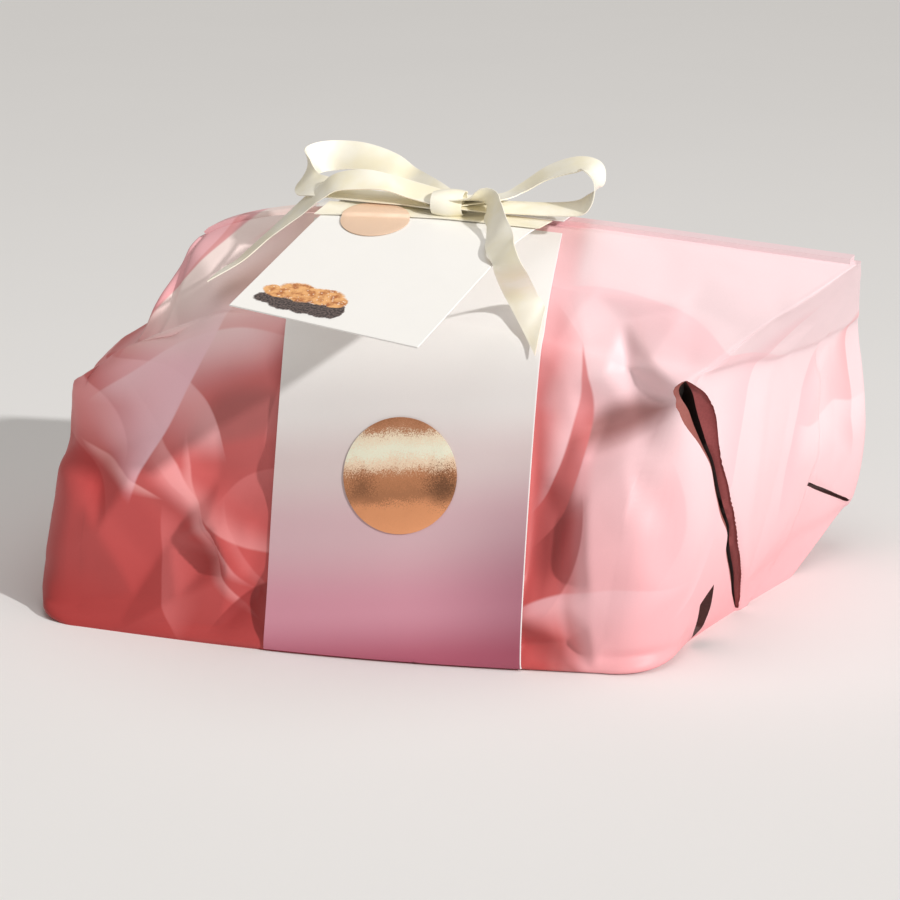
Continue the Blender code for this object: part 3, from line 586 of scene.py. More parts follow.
# Folded ends: how the flap lies over each end and where the paper gapes along its front edge.
# Flap and hem outlines are depth and height pairs, the slits' lips are places on the right end's paper.
endFolds = dict(
    flapFront=((-0.0985, 0.150), (-0.0978, 0.1461), (-0.0914, 0.1417), (-0.0805, 0.1314), (-0.0769, 0.1203),
               (-0.0754, 0.1096), (-0.0707, 0.1006), (-0.0626, 0.0854), (-0.0501, 0.0661), (-0.0347, 0.0427),
               (-0.0239, 0.0284), (-0.0104, 0.0100), (-0.004, 0.0)),
    flapBack=((-0.004, 0.176), (0.030, 0.138), (0.046, 0.115), (0.049, 0.072), (0.043, 0.062), (0.030, 0.018),
              (0.004, 0.0)),
    flapStep=0.0018, flapTop=0.182, hemStep=0.0012, hemTop=0.13, hem=((0.0426, 0.0615), (0.104, 0.031)),
    slitFront=((0.1690, -0.0996, 0.1477), (0.1643, -0.1008, 0.1461), (0.1610, -0.1024, 0.1420),
               (0.1638, -0.1031, 0.1361), (0.1698, -0.1010, 0.1246), (0.1753, -0.0914, 0.1123),
               (0.1782, -0.0813, 0.1007), (0.1794, -0.0764, 0.0865), (0.1805, -0.0663, 0.0692),
               (0.1815, -0.0530, 0.0561), (0.1806, -0.0537, 0.0482), (0.1805, -0.0407, 0.0334),
               (0.1784, -0.0241, 0.0158), (0.1763, -0.0083, 0.0024)),
    slitBack=((0.1700, -0.0992, 0.1477), (0.1736, -0.0978, 0.1461), (0.1759, -0.0914, 0.1417),
              (0.1785, -0.0805, 0.1314), (0.1792, -0.0769, 0.1203), (0.1796, -0.0754, 0.1096),
              (0.1807, -0.0707, 0.1006), (0.1823, -0.0626, 0.0854), (0.1832, -0.0501, 0.0661),
              (0.1828, -0.0347, 0.0427), (0.1820, -0.0239, 0.0284), (0.1783, -0.0104, 0.0100),
              (0.1770, -0.0060, 0.0020)),
    lowSlitFront=((0.1771, -0.0618, 0.0317), (0.1741, -0.0786, 0.0261), (0.1711, -0.0759, 0.0115),
                  (0.1690, -0.0700, 0.0010)),
    lowSlitBack=((0.1771, -0.0612, 0.0317), (0.1754, -0.0570, 0.0179), (0.1706, -0.0560, 0.0054),
                 (0.1690, -0.0600, 0.0010)),
    hemFront=((0.198, 0.0400, 0.0600), (0.1995, 0.0460, 0.0590), (0.2052, 0.0646, 0.0510), (0.2123, 0.1002, 0.0350),
              (0.215, 0.1060, 0.0310)),
    hemBack=((0.198, 0.0400, 0.0592), (0.1995, 0.0460, 0.0565), (0.2052, 0.0646, 0.0478), (0.2123, 0.1002, 0.0325),
             (0.215, 0.1060, 0.0300)),
    leftSlitFront=((-0.083, 0.114), (-0.080, 0.100), (-0.073, 0.078), (-0.060, 0.052), (-0.041, 0.026),
                   (-0.022, 0.003)),
    leftSlitBack=((-0.082, 0.114), (-0.074, 0.100), (-0.066, 0.078), (-0.053, 0.052), (-0.036, 0.026), (-0.021, 0.003)),
    leftHemFront=((0.030, 0.0640), (0.050, 0.0580), (0.070, 0.0475), (0.092, 0.0350)),
    leftHemBack=((0.030, 0.0632), (0.050, 0.0556), (0.070, 0.0448), (0.092, 0.0340)))


def outlineDepth(outline, z):
    spots = np.array(outline)[::-1]
    return np.interp(z, spots[:, 1], spots[:, 0])


def foldedRows(rows, normals):
    # lifts the flap and the hem of each end a paper's thickness off what lies under them
    moved = rows.copy()
    for side in (1, 3):
        columns = np.arange(sideStart(side) - wrapShape["cornerSteps"] // 2,
                            sideStart(side) + wrapShape["sideSteps"][side] + 4) % rows.shape[1]
        y, z = rows[:, columns, 1], rows[:, columns, 2]
        behind = outlineDepth(endFolds["flapBack"], z)
        ahead = outlineDepth(endFolds["flapFront"], z)
        onFlap = smooth(-0.0035, -0.0005, y - ahead) * smooth(-0.0006, 0.0014, behind - y)
        onFlap *= smooth(0.0, 0.05, endFolds["flapTop"] - z)
        (ya, za), (yb, zb) = endFolds["hem"]
        hemHeight = lerp(za, zb, (y - ya) / (yb - ya))
        onHem = smooth(-0.0006, 0.0012, z - hemHeight) * smooth(-0.001, 0.002, y - behind)
        onHem *= smooth(0.0, 0.06, endFolds["hemTop"] - z)
        rise = endFolds["flapStep"] * onFlap + endFolds["hemStep"] * onHem
        moved[:, columns] += normals[:, columns] * rise[..., None]
    return moved


def buildWrap(materials):
    normals = gridNormals(plainRows)
    rows = foldedRows(creasedRows(plainRows, normals), normals)
    # the lifted folds keep to the plain wrap's room too
    rows = np.clip(rows, plainRows.min(axis=(0, 1)), plainRows.max(axis=(0, 1)))
    count, size = rows.shape[:2]
    faces = tubeFaces(count, size)
    for base, turn in ((0, -1), ((count - 1) * size, 1)):
        ahead = list(range(sideStart(0), sideStart(0) + wrapShape["sideSteps"][0] + 1))
        behind = list(range(sideStart(2), sideStart(2) + wrapShape["sideSteps"][2] + 1))[::-1]
        for i in range(len(ahead) - 1):
            faces.append([base + n for n in (ahead[i], ahead[i + 1], behind[i + 1], behind[i])][::turn])
        faces.append([base + n for n in range(wrapShape["sideSteps"][0], sideStart(2) + 1)][::turn])
        faces.append([base + n for n in list(range(sideStart(2) + wrapShape["sideSteps"][2], size)) + [0]][::turn])
    return meshPiece("giftWrap", rows.reshape(-1, 3), faces, materials)


def alongPath(path, count):
    # evenly spaced places along a path
    path = np.array(path)
    gone = np.concatenate([[0.0], np.cumsum(np.linalg.norm(np.diff(path, axis=0), axis=1))])
    places = np.linspace(0.0, gone[-1], count)
    return np.stack([np.interp(places, gone, path[:, c]) for c in range(3)], axis=1)


def onLeftEnd(surface, outline):
    return [tuple(surface.ray_cast(Vector((-0.4, y, z)), Vector((1, 0, 0)))[0]) for y, z in outline]


slitCut = dict(stations=72, rounding=4, leastDepth=0.0007, above=0.008, lean=0.35)


def slitCutter(name, surface, out, ahead, behind, depths, materials, marks):
    # a closed wedge whose floor steps down across the gap; depths are (place across, depth against the width there)
    stations, size = slitCut["stations"], len(depths) * 2
    spots, ways = np.empty((stations + 1, len(depths), 3)), np.empty((stations + 1, len(depths), 3))
    for i, (a, b) in enumerate(zip(alongPath(ahead, stations + 1), alongPath(behind, stations + 1))):
        for j, (across, _) in enumerate(depths):
            spots[i, j], ways[i, j] = surface.find_nearest(Vector(a + (b - a) * across))[:2]
    for _ in range(slitCut["rounding"]):
        spots[1:-1] = (spots[:-2] + spots[1:-1] * 2 + spots[2:]) / 4
        ways[1:-1] = (ways[:-2] + ways[1:-1] + ways[2:]) / 3
    points = []
    for row, facing in zip(spots, ways):
        way = unit(facing.mean(axis=0) + np.array([out, 0.0, 0.0]))
        width = np.linalg.norm(row[-1] - row[0])
        points += [spot - way * (slitCut["leastDepth"] + depth * width) for spot, (_, depth) in zip(row, depths)]
        points += [spot + way * slitCut["above"] for spot in row[::-1]]
    faces = tubeFaces(stations + 1, size)
    faces += [tuple(range(size))[::-1], tuple(stations * size + n for n in range(size))]
    slots = [marks[min(j, len(marks) - 1)] for _ in range(stations) for j in range(size)] + [marks[0]] * 2
    cutter = meshPiece(name, points, faces, materials, slots)
    faceOutwards(cutter)
    return cutter


def cutAway(piece, cutter):
    modifier = piece.modifiers.new("cut", "BOOLEAN")
    modifier.operation = "DIFFERENCE"
    modifier.solver = "MANIFOLD"
    modifier.object = cutter
    modifier.material_mode = "TRANSFER"
    settle(piece)
    bpy.data.objects.remove(cutter)


# Print of the wrap, colours as linear light: a slow change from deep rose to pale pink, under soft fields and
# leaf-shaped strokes; several fields are painted shade and one stroke is painted light.
# Each stroke has its middle, the ways along and across it, its half length and half width, bend, colour and amount.
# Its places are on the imported model, because the material reads the finished piece.
wrapPrint = dict(
    lean=(0.20, 0.0, 2.0), start=0.155, drift=0.22, reach=0.10, grain=(1100.0, 30.0, 0.10), bump=0.12,
    rises=(("X", 0.070, 0.098, 0.44), ("X", 0.134, 0.155, 0.10), ("Z", 0.128, 0.185, 0.25)),
    ramp=((0.06, (0.40, 0.040, 0.038)), (0.22, (0.56, 0.085, 0.083)), (0.36, (0.68, 0.165, 0.162)),
          (0.52, (0.82, 0.30, 0.31)), (0.72, (0.88, 0.45, 0.48)), (0.98, (0.90, 0.69, 0.72))),
    # soft-edged fields, laid under the strokes; several are painted shade, as marked
    shades=(
        ((0.104, -0.07, 0.150), (0.92, 0.0, 0.38), (-0.38, 0.0, 0.92), 0.052, 0.026, 0.0, (0.90, 0.56, 0.59), 0.45),
        # painted shade in the fold under the roof, this field and the next
        ((0.102, -0.08, 0.124), (0.90, 0.0, 0.43), (-0.43, 0.0, 0.90), 0.034, 0.014, 0.0, (0.30, 0.105, 0.095), 0.85),
        ((0.111, -0.06, 0.160), (0.50, 0.0, -0.86), (0.86, 0.0, 0.50), 0.026, 0.008, 0.0, (0.74, 0.42, 0.42), 0.30),
        # painted shade in the hollow beside the band's right edge
        ((0.079, -0.08, 0.076), (0.06, 0.0, 0.998), (0.998, 0.0, -0.06), 0.052, 0.015, 0.0, (0.26, 0.045, 0.045), 0.75),
        ((0.076, -0.08, 0.012), (0.80, 0.0, -0.60), (0.60, 0.0, 0.80), 0.030, 0.012, 0.0, (0.30, 0.05, 0.05), 0.70),
        # painted shadow of the card on the paper left of the band
        ((-0.094, -0.08, 0.112), (0.86, 0.0, 0.51), (-0.51, 0.0, 0.86), 0.044, 0.018, 0.0, (0.42, 0.14, 0.135), 0.60),
        ((-0.070, -0.08, 0.150), (0.30, 0.0, 0.95), (0.95, 0.0, -0.30), 0.024, 0.012, 0.0, (0.46, 0.07, 0.07), 0.60),
        ((-0.150, -0.08, 0.058), (0.40, 0.0, -0.92), (0.92, 0.0, 0.40), 0.040, 0.016, 0.0, (0.44, 0.06, 0.06), 0.45)),
    strokes=(
        # front, left of the band
        ((-0.128, -0.09, 0.074), (0.62, 0.0, -0.78), (0.78, 0.0, 0.62), 0.070, 0.009, 0.22, (0.90, 0.40, 0.41), 0.75),
        ((-0.110, -0.09, 0.052), (0.50, 0.0, -0.87), (0.87, 0.0, 0.50), 0.055, 0.006, 0.30, (0.90, 0.38, 0.38), 0.60),
        ((-0.082, -0.09, 0.044), (0.58, 0.0, -0.81), (0.81, 0.0, 0.58), 0.034, 0.004, 0.20, (0.76, 0.24, 0.24), 0.35),
        ((-0.120, -0.09, 0.036), (0.30, 0.0, -0.95), (-0.95, 0.0, -0.30), 0.034, 0.017, 0.10, (0.76, 0.20, 0.20), 0.50),
        ((-0.092, -0.09, 0.062), (0.93, 0.0, -0.36), (-0.36, 0.0, -0.93), 0.060, 0.008, -0.18,
         (0.84, 0.34, 0.34), 0.60),
        ((-0.158, -0.09, 0.078), (0.86, 0.0, -0.51), (0.51, 0.0, 0.86), 0.030, 0.005, 0.15, (0.94, 0.44, 0.43), 0.75),
        ((-0.180, -0.09, 0.110), (0.60, 0.0, -0.80), (0.80, 0.0, 0.60), 0.040, 0.018, 0.10, (0.90, 0.38, 0.39), 0.80),
        ((-0.180, -0.09, 0.078), (0.60, 0.0, -0.80), (0.80, 0.0, 0.60), 0.030, 0.010, -0.10, (0.50, 0.05, 0.05), 0.75),
        ((-0.138, -0.09, 0.112), (0.80, 0.0, -0.60), (0.60, 0.0, 0.80), 0.050, 0.022, 0.05, (0.97, 0.50, 0.52), 0.80),
        ((-0.118, -0.09, 0.132), (0.93, 0.0, 0.37), (-0.37, 0.0, 0.93), 0.060, 0.020, 0.10, (0.98, 0.66, 0.70), 0.85),
        ((-0.062, -0.09, 0.080), (0.90, 0.0, 0.44), (-0.44, 0.0, 0.90), 0.040, 0.014, 0.10, (0.82, 0.24, 0.24), 0.55),
        ((-0.055, -0.09, 0.142), (0.35, 0.0, 0.94), (0.94, 0.0, -0.35), 0.026, 0.010, 0.35, (0.56, 0.07, 0.06), 0.80),
        ((-0.066, -0.09, 0.128), (0.25, 0.0, 0.97), (-0.97, 0.0, 0.25), 0.030, 0.010, 0.20, (0.84, 0.26, 0.26), 0.45),
        ((-0.064, -0.09, 0.018), (0.95, 0.0, 0.30), (-0.30, 0.0, 0.95), 0.040, 0.018, 0.05, (0.32, 0.03, 0.03), 0.85),
        # painted light: the ear facet in bright pink, with a crisp rim where the lit paper meets the card's shadow
        ((-0.1493, -0.09, 0.1353), (0.449, 0.0, 0.894), (0.894, 0.0, -0.449), 0.066, 0.030, 0.46,
         (1.0, 0.62, 0.70), 0.95),
        # front, right of the band
        ((0.074, -0.08, 0.116), (0.02, 0.0, 0.999), (0.999, 0.0, -0.02), 0.066, 0.017, -0.16, (0.66, 0.16, 0.16), 0.80),
        ((0.073, -0.08, 0.132), (0.06, 0.0, 0.998), (0.998, 0.0, -0.06), 0.056, 0.010, -0.12, (0.95, 0.60, 0.63), 0.85),
        ((0.080, -0.08, 0.060), (0.25, 0.0, 0.968), (0.968, 0.0, -0.25), 0.040, 0.015, 0.08, (0.44, 0.06, 0.06), 0.60),
        ((0.130, -0.07, 0.068), (0.15, 0.0, 0.989), (0.989, 0.0, -0.15), 0.044, 0.013, -0.14, (0.93, 0.44, 0.47), 0.55),
        ((0.104, -0.07, 0.030), (0.97, 0.0, 0.24), (-0.24, 0.0, 0.97), 0.050, 0.014, 0.05, (0.92, 0.56, 0.60), 0.60),
        ((0.110, -0.07, 0.166), (0.94, 0.0, -0.34), (0.34, 0.0, 0.94), 0.075, 0.016, -0.16, (0.95, 0.56, 0.60), 0.65),
        ((0.092, -0.05, 0.186), (0.97, 0.0, -0.24), (-0.24, 0.0, -0.97), 0.062, 0.007, 0.12, (0.95, 0.62, 0.66), 0.50),
        # right end
        ((0.180, -0.030, 0.125), (0.0, 0.25, 0.968), (0.0, 0.968, -0.25), 0.060, 0.018, 0.15, (0.88, 0.54, 0.58), 0.60),
        ((0.180, -0.045, 0.060), (0.0, 0.45, 0.893), (0.0, 0.893, -0.45), 0.048, 0.008, -0.15,
         (0.94, 0.56, 0.60), 0.60),
        ((0.180, 0.070, 0.095), (0.0, 0.20, 0.98), (0.0, -0.98, 0.20), 0.060, 0.020, 0.2, (0.88, 0.48, 0.52), 0.55),
        ((0.180, 0.110, 0.110), (0.0, -0.15, 0.989), (0.0, 0.989, 0.15), 0.055, 0.016, 0.2, (0.90, 0.36, 0.38), 0.60),
        # roof on the left, and the left end
        ((-0.130, 0.00, 0.172), (0.62, 0.0, 0.78), (-0.78, 0.0, 0.62), 0.060, 0.010, 0.12, (0.72, 0.28, 0.27), 0.65),
        ((-0.088, 0.00, 0.172), (0.86, 0.0, 0.50), (-0.50, 0.0, 0.86), 0.080, 0.036, 0.12, (0.99, 0.84, 0.80), 0.95),
        ((-0.060, 0.00, 0.205), (0.90, 0.0, 0.43), (-0.43, 0.0, 0.90), 0.050, 0.009, 0.18, (0.92, 0.62, 0.60), 0.60),
        ((-0.180, 0.020, 0.110), (0.0, 0.30, 0.954), (0.0, 0.954, -0.30), 0.070, 0.022, 0.2, (0.93, 0.46, 0.48), 0.60),
        ((-0.180, 0.090, 0.070), (0.0, -0.20, 0.98), (0.0, 0.98, 0.20), 0.060, 0.018, 0.2, (0.90, 0.34, 0.35), 0.55),
        # back
        ((0.120, 0.150, 0.110), (0.80, 0.0, -0.60), (0.60, 0.0, 0.80), 0.090, 0.024, 0.2, (0.97, 0.76, 0.79), 0.60),
        ((0.040, 0.150, 0.070), (0.75, 0.0, 0.66), (-0.66, 0.0, 0.75), 0.080, 0.016, 0.2, (0.93, 0.48, 0.50), 0.55),
        ((-0.090, 0.150, 0.100), (0.70, 0.0, -0.71), (0.71, 0.0, 0.70), 0.085, 0.020, 0.2, (0.92, 0.42, 0.44), 0.55),
        ((0.020, 0.100, 0.190), (0.95, 0.0, -0.31), (0.31, 0.0, 0.95), 0.100, 0.018, 0.1, (0.97, 0.78, 0.81), 0.55)),
    edge=0.0016, softEdge=0.012)


def makeWrapPaper():
    material, tree, shader = newMaterial("wrapPaper", Roughness=0.46, Specular_IOR_Level=0.38)
    place = objectPlace(tree)
    spots = addNode(tree, "ShaderNodeSeparateXYZ", {0: place}).outputs
    value = math(tree, "ADD", vectorMath(tree, "DOT_PRODUCT", place, wrapPrint["lean"]), wrapPrint["start"])
    value = math(tree, "MULTIPLY_ADD", fromMiddle(tree, noiseField(tree, place, 6.0, 2.0)), wrapPrint["drift"], value)
    for way, low, high, amount in wrapPrint["rises"]:
        value = math(tree, "MULTIPLY_ADD", mapRange(tree, spots[way], low, high), amount, value)
    colour = colourRamp(tree, value, wrapPrint["ramp"])
    fields = [(stroke, wrapPrint["softEdge"], -0.6) for stroke in wrapPrint["shades"]]
    fields += [(stroke, wrapPrint["edge"], 1.0) for stroke in wrapPrint["strokes"]]
    for (centre, along, across, length, width, bend, tint, amount), edge, fade in fields:
        mask = useGroup(tree, petalStroke, {
            "Vector": place, "Centre": centre, "Along": along, "Across": across, "Length": length, "Width": width,
            "Bend": bend, "Edge": edge, "Fade": fade, "Reach": wrapPrint["reach"]})["Mask"]
        colour = mixColour(tree, math(tree, "MULTIPLY", mask, amount), colour, tint)
    fibre = finishPaper(tree, shader, place, colour, wrapPrint)
    rough = math(tree, "MULTIPLY_ADD", math(tree, "SUBTRACT", fibre["Shade"], 1.0), 1.2, 0.46)
    tree.links.new(rough, shader.inputs["Roughness"])
    return material


# an inside of the folded paper in painted shade
def makeFoldInside(name, dark, lit):
    material, tree, shader = newMaterial(name, Roughness=0.62)
    fibre = useGroup(tree, paperFibre, {"Vector": objectPlace(tree), "Tooth": 800.0, "Cloud": 45.0, "Mottle": 0.30})
    blend = mapRange(tree, fibre["Shade"], 0.93, 1.07, kind="LINEAR")
    tree.links.new(mixColour(tree, blend, dark, lit), shader.inputs["Base Color"])
    addBump(tree, shader, fibre["Height"], 0.2, 0.0003)
    return material


# darker and paler tint in each fold, mixed by mottle: walls and turned edges are the paper's inside darkened by painted
# shade, gaps and thin slits are painted dark shade
foldTints = dict(
    shadedFoldWall=((0.26, 0.070, 0.058), (0.40, 0.13, 0.11)), paintedShadeGap=((0.010, 0.003, 0.002), (0.020, 0.006, 0.004)),
    shadedFoldEdge=((0.20, 0.030, 0.030), (0.34, 0.070, 0.070)), paintedShadeDeep=((0.055, 0.014, 0.012), (0.100, 0.030, 0.025)))
wrapPaper = makeWrapPaper()
wrapMaterials = [wrapPaper] + [makeFoldInside(name, *tints) for name, tints in foldTints.items()]
print("wrap materials ready")

giftWrap = buildWrap(wrapMaterials)
wrapSurface = BVHTree.FromPolygons([tuple(v.co) for v in giftWrap.data.vertices],
                                   [tuple(p.vertices) for p in giftWrap.data.polygons])
# across a slit: the wall of the front paper, the gap painted near-black as shade, and the flap's turned edge
slitProfile = dict(depths=((0.0, 0.0), (0.08, 0.06), (0.40, 0.18), (0.44, 0.60), (0.62, 0.60), (0.66, 0.16),
                           (0.94, 0.08), (1.0, 0.0)), marks=(1, 1, 2, 2, 2, 3, 3, 3))
thinProfile = dict(depths=((0.0, 0.0), (0.25, 0.50), (0.75, 0.50), (1.0, 0.0)), marks=(4, 4, 4, 4))
for label, profile in (("slit", slitProfile), ("lowSlit", thinProfile), ("hem", thinProfile),
                       ("leftSlit", slitProfile), ("leftHem", thinProfile)):
    ahead, behind, out = endFolds[label + "Front"], endFolds[label + "Back"], slitCut["lean"]
    if label.startswith("left"):
        ahead, behind, out = onLeftEnd(wrapSurface, ahead), onLeftEnd(wrapSurface, behind), -out
    cutAway(giftWrap, slitCutter(label, wrapSurface, out, ahead, behind, profile["depths"], wrapMaterials,
                                 profile["marks"]))
shadeSmooth(giftWrap, 50)
print("wrap built:", len(giftWrap.data.polygons), "faces")


# Swept strips: a tree that draws a strip of the given width along a path, used by the ridge seam and the ribbon

def makeSweptStrip():
    tree = bpy.data.node_groups.new("sweptStrip", "GeometryNodeTree")
    tree.is_modifier = True
    for label, kind, value in (("Path", "NodeSocketGeometry", None), ("Half Width", "NodeSocketFloat", 0.0078),
                               ("Cup", "NodeSocketFloat", 0.0006), ("Sections", "NodeSocketInt", 11),
                               ("Finish", "NodeSocketMaterial", None)):
        socket = tree.interface.new_socket(name=label, in_out="INPUT", socket_type=kind)
        if value is not None:
            socket.default_value = value
    tree.interface.new_socket(name="Strip", in_out="OUTPUT", socket_type="NodeSocketGeometry")
    given = tree.nodes.new("NodeGroupInput").outputs
    out = tree.nodes.new("NodeGroupOutput")
    across = addNode(tree, "GeometryNodeInputNamedAttribute", {"Name": "across"}, data_type="FLOAT_VECTOR")
    pinch = addNode(tree, "GeometryNodeInputNamedAttribute", {"Name": "pinch"}, data_type="FLOAT")
    line = addNode(tree, "GeometryNodeMeshToCurve", {"Mesh": given["Path"]})
    place = addNode(tree, "GeometryNodeSplineParameter")
    marked = addNode(tree, "GeometryNodeStoreNamedAttribute",
                     {"Geometry": line.outputs["Curve"], "Name": "along", "Value": place.outputs["Length"]},
                     data_type="FLOAT", domain="POINT")
    turned = addNode(tree, "GeometryNodeSetCurveNormal",
                     {"Curve": marked.outputs["Geometry"], "Normal": across.outputs["Attribute"]}, mode="FREE")
    sized = addNode(tree, "GeometryNodeSetCurveRadius",
                    {"Curve": turned.outputs["Curve"], "Radius": pinch.outputs["Attribute"]})
    # the profile runs along X, which the sweep lays along the strip's way across
    ends = addNode(tree, "ShaderNodeCombineXYZ", {"X": given["Half Width"]})
    starts = vectorMath(tree, "SCALE", ends.outputs[0], -1.0)
    profile = addNode(tree, "GeometryNodeCurvePrimitiveLine", {"Start": starts, "End": ends.outputs[0]})
    parted = addNode(tree, "GeometryNodeResampleCurve",
                     {"Curve": profile.outputs["Curve"], "Count": given["Sections"]}, mode="COUNT")
    spot = addNode(tree, "GeometryNodeInputPosition")
    spotX = addNode(tree, "ShaderNodeSeparateXYZ", {0: spot.outputs[0]}).outputs["X"]
    share = math(tree, "DIVIDE", spotX, given["Half Width"])
    crown = math(tree, "MULTIPLY", math(tree, "SUBTRACT", 1.0, math(tree, "MULTIPLY", share, share)), given["Cup"])
    raised = addNode(tree, "ShaderNodeCombineXYZ", {"Y": crown})
    cupped = addNode(tree, "GeometryNodeSetPosition",
                     {"Geometry": parted.outputs["Curve"], "Offset": raised.outputs[0]})
    noted = addNode(tree, "GeometryNodeStoreNamedAttribute",
                    {"Geometry": cupped.outputs["Geometry"], "Name": "side", "Value": spotX},
                    data_type="FLOAT", domain="POINT")
    swept = addNode(tree, "GeometryNodeCurveToMesh",
                    {"Curve": sized.outputs["Curve"], "Profile Curve": noted.outputs["Geometry"]})
    side = addNode(tree, "GeometryNodeInputNamedAttribute", {"Name": "side"}, data_type="FLOAT")
    along = addNode(tree, "GeometryNodeInputNamedAttribute", {"Name": "along"}, data_type="FLOAT")
    weave = addNode(tree, "ShaderNodeCombineXYZ", {"X": side.outputs["Attribute"], "Y": along.outputs["Attribute"]})
    mapped = addNode(tree, "GeometryNodeStoreNamedAttribute",
                     {"Geometry": swept.outputs["Mesh"], "Name": "weave", "Value": weave.outputs[0]},
                     data_type="FLOAT2", domain="CORNER")
    whole = addNode(tree, "GeometryNodeRealizeInstances", {"Geometry": mapped.outputs["Geometry"]})
    finished = addNode(tree, "GeometryNodeSetMaterial",
                       {"Geometry": whole.outputs["Geometry"], "Material": given["Finish"]})
    smoothed = addNode(tree, "GeometryNodeSetShadeSmooth", {"Geometry": finished.outputs["Geometry"]})
    tree.links.new(smoothed.outputs["Geometry"], out.inputs["Strip"])
    return tree


sweptStrip = makeSweptStrip()


def stripPiece(name, middles, ways, pinches, halfWidth, thickness, material, cup=0.0, sections=11):
    # one strip along its middles, facing its ways, as a closed thin sheet
    mesh = bpy.data.meshes.new(name)
    mesh.from_pydata([tuple(p) for p in middles], [(i, i + 1) for i in range(len(middles) - 1)], [])
    mesh.attributes.new("across", "FLOAT_VECTOR", "POINT").data.foreach_set("vector", np.array(ways).ravel())
    mesh.attributes.new("pinch", "FLOAT", "POINT").data.foreach_set("value", pinches)
    mesh.materials.append(material)
    piece = newObject(name, mesh)
    modifier = piece.modifiers.new("strip", "NODES")
    modifier.node_group = sweptStrip
    for item in sweptStrip.interface.items_tree:
        if item.in_out == "INPUT" and item.name != "Path":
            modifier[item.identifier] = {"Half Width": halfWidth, "Cup": cup, "Sections": sections,
                                         "Finish": material}[item.name]
    wall = piece.modifiers.new("wall", "SOLIDIFY")
    wall.thickness = thickness
    wall.offset = 0.0
    settle(piece)
    faceOutwards(piece)
    shadeSmooth(piece, 55)
    return piece


ridgeSeam = dict(thickness=0.0030, sink=0.0015, stations=140, halfWidth=0.0052, waver=0.0005)


def buildRidgeSeam():
    topFront, topBack = front[-1], back[-1][::-1]
    xs = np.linspace(topFront[0, 0] + 0.001, topFront[-1, 0] - 0.001, ridgeSeam["stations"])
    middles, ways = [], []
    for x in xs:
        a = np.array([x, np.interp(x, topFront[:, 0], topFront[:, 1]), np.interp(x, topFront[:, 0], topFront[:, 2])])
        b = np.array([x, np.interp(x, topBack[:, 0], topBack[:, 1]), np.interp(x, topBack[:, 0], topBack[:, 2])])
        waver = ridgeSeam["waver"] * noise.noise(Vector((x * 30.0, 2.0, 0.0)))
        middle = (a + b) / 2 + np.array([0.0, waver, ridgeSeam["thickness"] / 2 - ridgeSeam["sink"] / 2])
        middles.append(middle)
        ways.append(unit(b - a))
    return stripPiece("ridgeSeam", middles, ways, [1.0] * len(middles), ridgeSeam["halfWidth"],
                      ridgeSeam["thickness"] + ridgeSeam["sink"] * 0.6, wrapPaper, sections=7)


seam = buildRidgeSeam()
print("ridge seam swept")


# Band round the pack

band = dict(left=-0.0372, right=0.0959, gap=0.0004, thickness=0.0006, tuck=0.0025, stations=34,
            seamLip=0.0006, seamThickness=0.0030)


def pointAtHeight(profile, z):
    for a, b in zip(profile, profile[1:]):
        if a[2] <= z <= b[2] and b[2] > a[2]:
            return lerp(a, b, (z - a[2]) / (b[2] - a[2]))
    return profile[-1].copy()


def bandPath(x):
    ahead, behind = section(x)
    ahead, behind = ahead[::2], behind[::2]
    top, groove = ahead[-1][2] - band["tuck"], wrapShape["soleGroove"]
    down = [point for point in ahead[::-1] if groove < point[2] < top]
    up = [point for point in behind[:-1] if point[2] > groove]
    over = np.array([0.0, -band["seamLip"], band["seamThickness"]])
    edge = ahead[-1] + over + np.array([0.0, 0.0005, 0.0])
    return np.array([pointAtHeight(ahead, top)] + down + [pointAtHeight(ahead, groove), pointAtHeight(behind, groove)]
                    + up + [behind[-1], behind[-1] + over, edge])


def offsetPath(path, distance):
    runs = np.diff(path, axis=0)
    normals = unit(np.stack([np.zeros(len(runs)), runs[:, 2], -runs[:, 1]], axis=1))
    before, after = np.vstack([normals[:1], normals]), np.vstack([normals, normals[-1:]])
    middle = (before + after) / 2
    stretch = 1.0 / np.maximum(np.linalg.norm(middle, axis=1, keepdims=True), 0.6)
    return path + unit(middle) * distance * stretch


def buildBand(material):
    stations, rings = band["stations"], []
    for i in range(stations + 1):
        path = bandPath(lerp(band["left"], band["right"], i / stations))
        inner, outer = offsetPath(path, band["gap"]), offsetPath(path, band["gap"] + band["thickness"])
        rings.append((inner, outer))
    size = min(len(inner) for inner, outer in rings)
    points = []
    for inner, outer in rings:
        points += list(outer[:size - 3]) + list(outer[-3:]) + list(inner[-3:])[::-1] + list(inner[:size - 3])[::-1]
    around = size * 2
    faces = tubeFaces(stations + 1, around)
    for base in (0, stations * around):
        for j in range(size - 1):
            faces.append((base + j, base + j + 1, base + around - 2 - j, base + around - 1 - j))
    piece = meshPiece("printedBand", points, faces, [material])
    faceOutwards(piece)
    shadeSmooth(piece)
    return piece


bandPrint = dict(
    ramp=((0.00, (0.46, 0.11, 0.17)), (0.14, (0.66, 0.30, 0.38)), (0.34, (0.68, 0.46, 0.50)),
          (0.50, (0.71, 0.60, 0.60)), (0.64, (0.78, 0.75, 0.74)), (0.80, (0.90, 0.885, 0.865))),
    height=0.20, slant=-0.12, grain=(1300.0, 26.0, 0.07), bump=0.08,
    paintedShadeCorner=((0.085, 0.045), (0.090, 0.090), (0.56, 0.46, 0.50)),
    bare=0.0005, bareTint=(0.95, 0.94, 0.94))


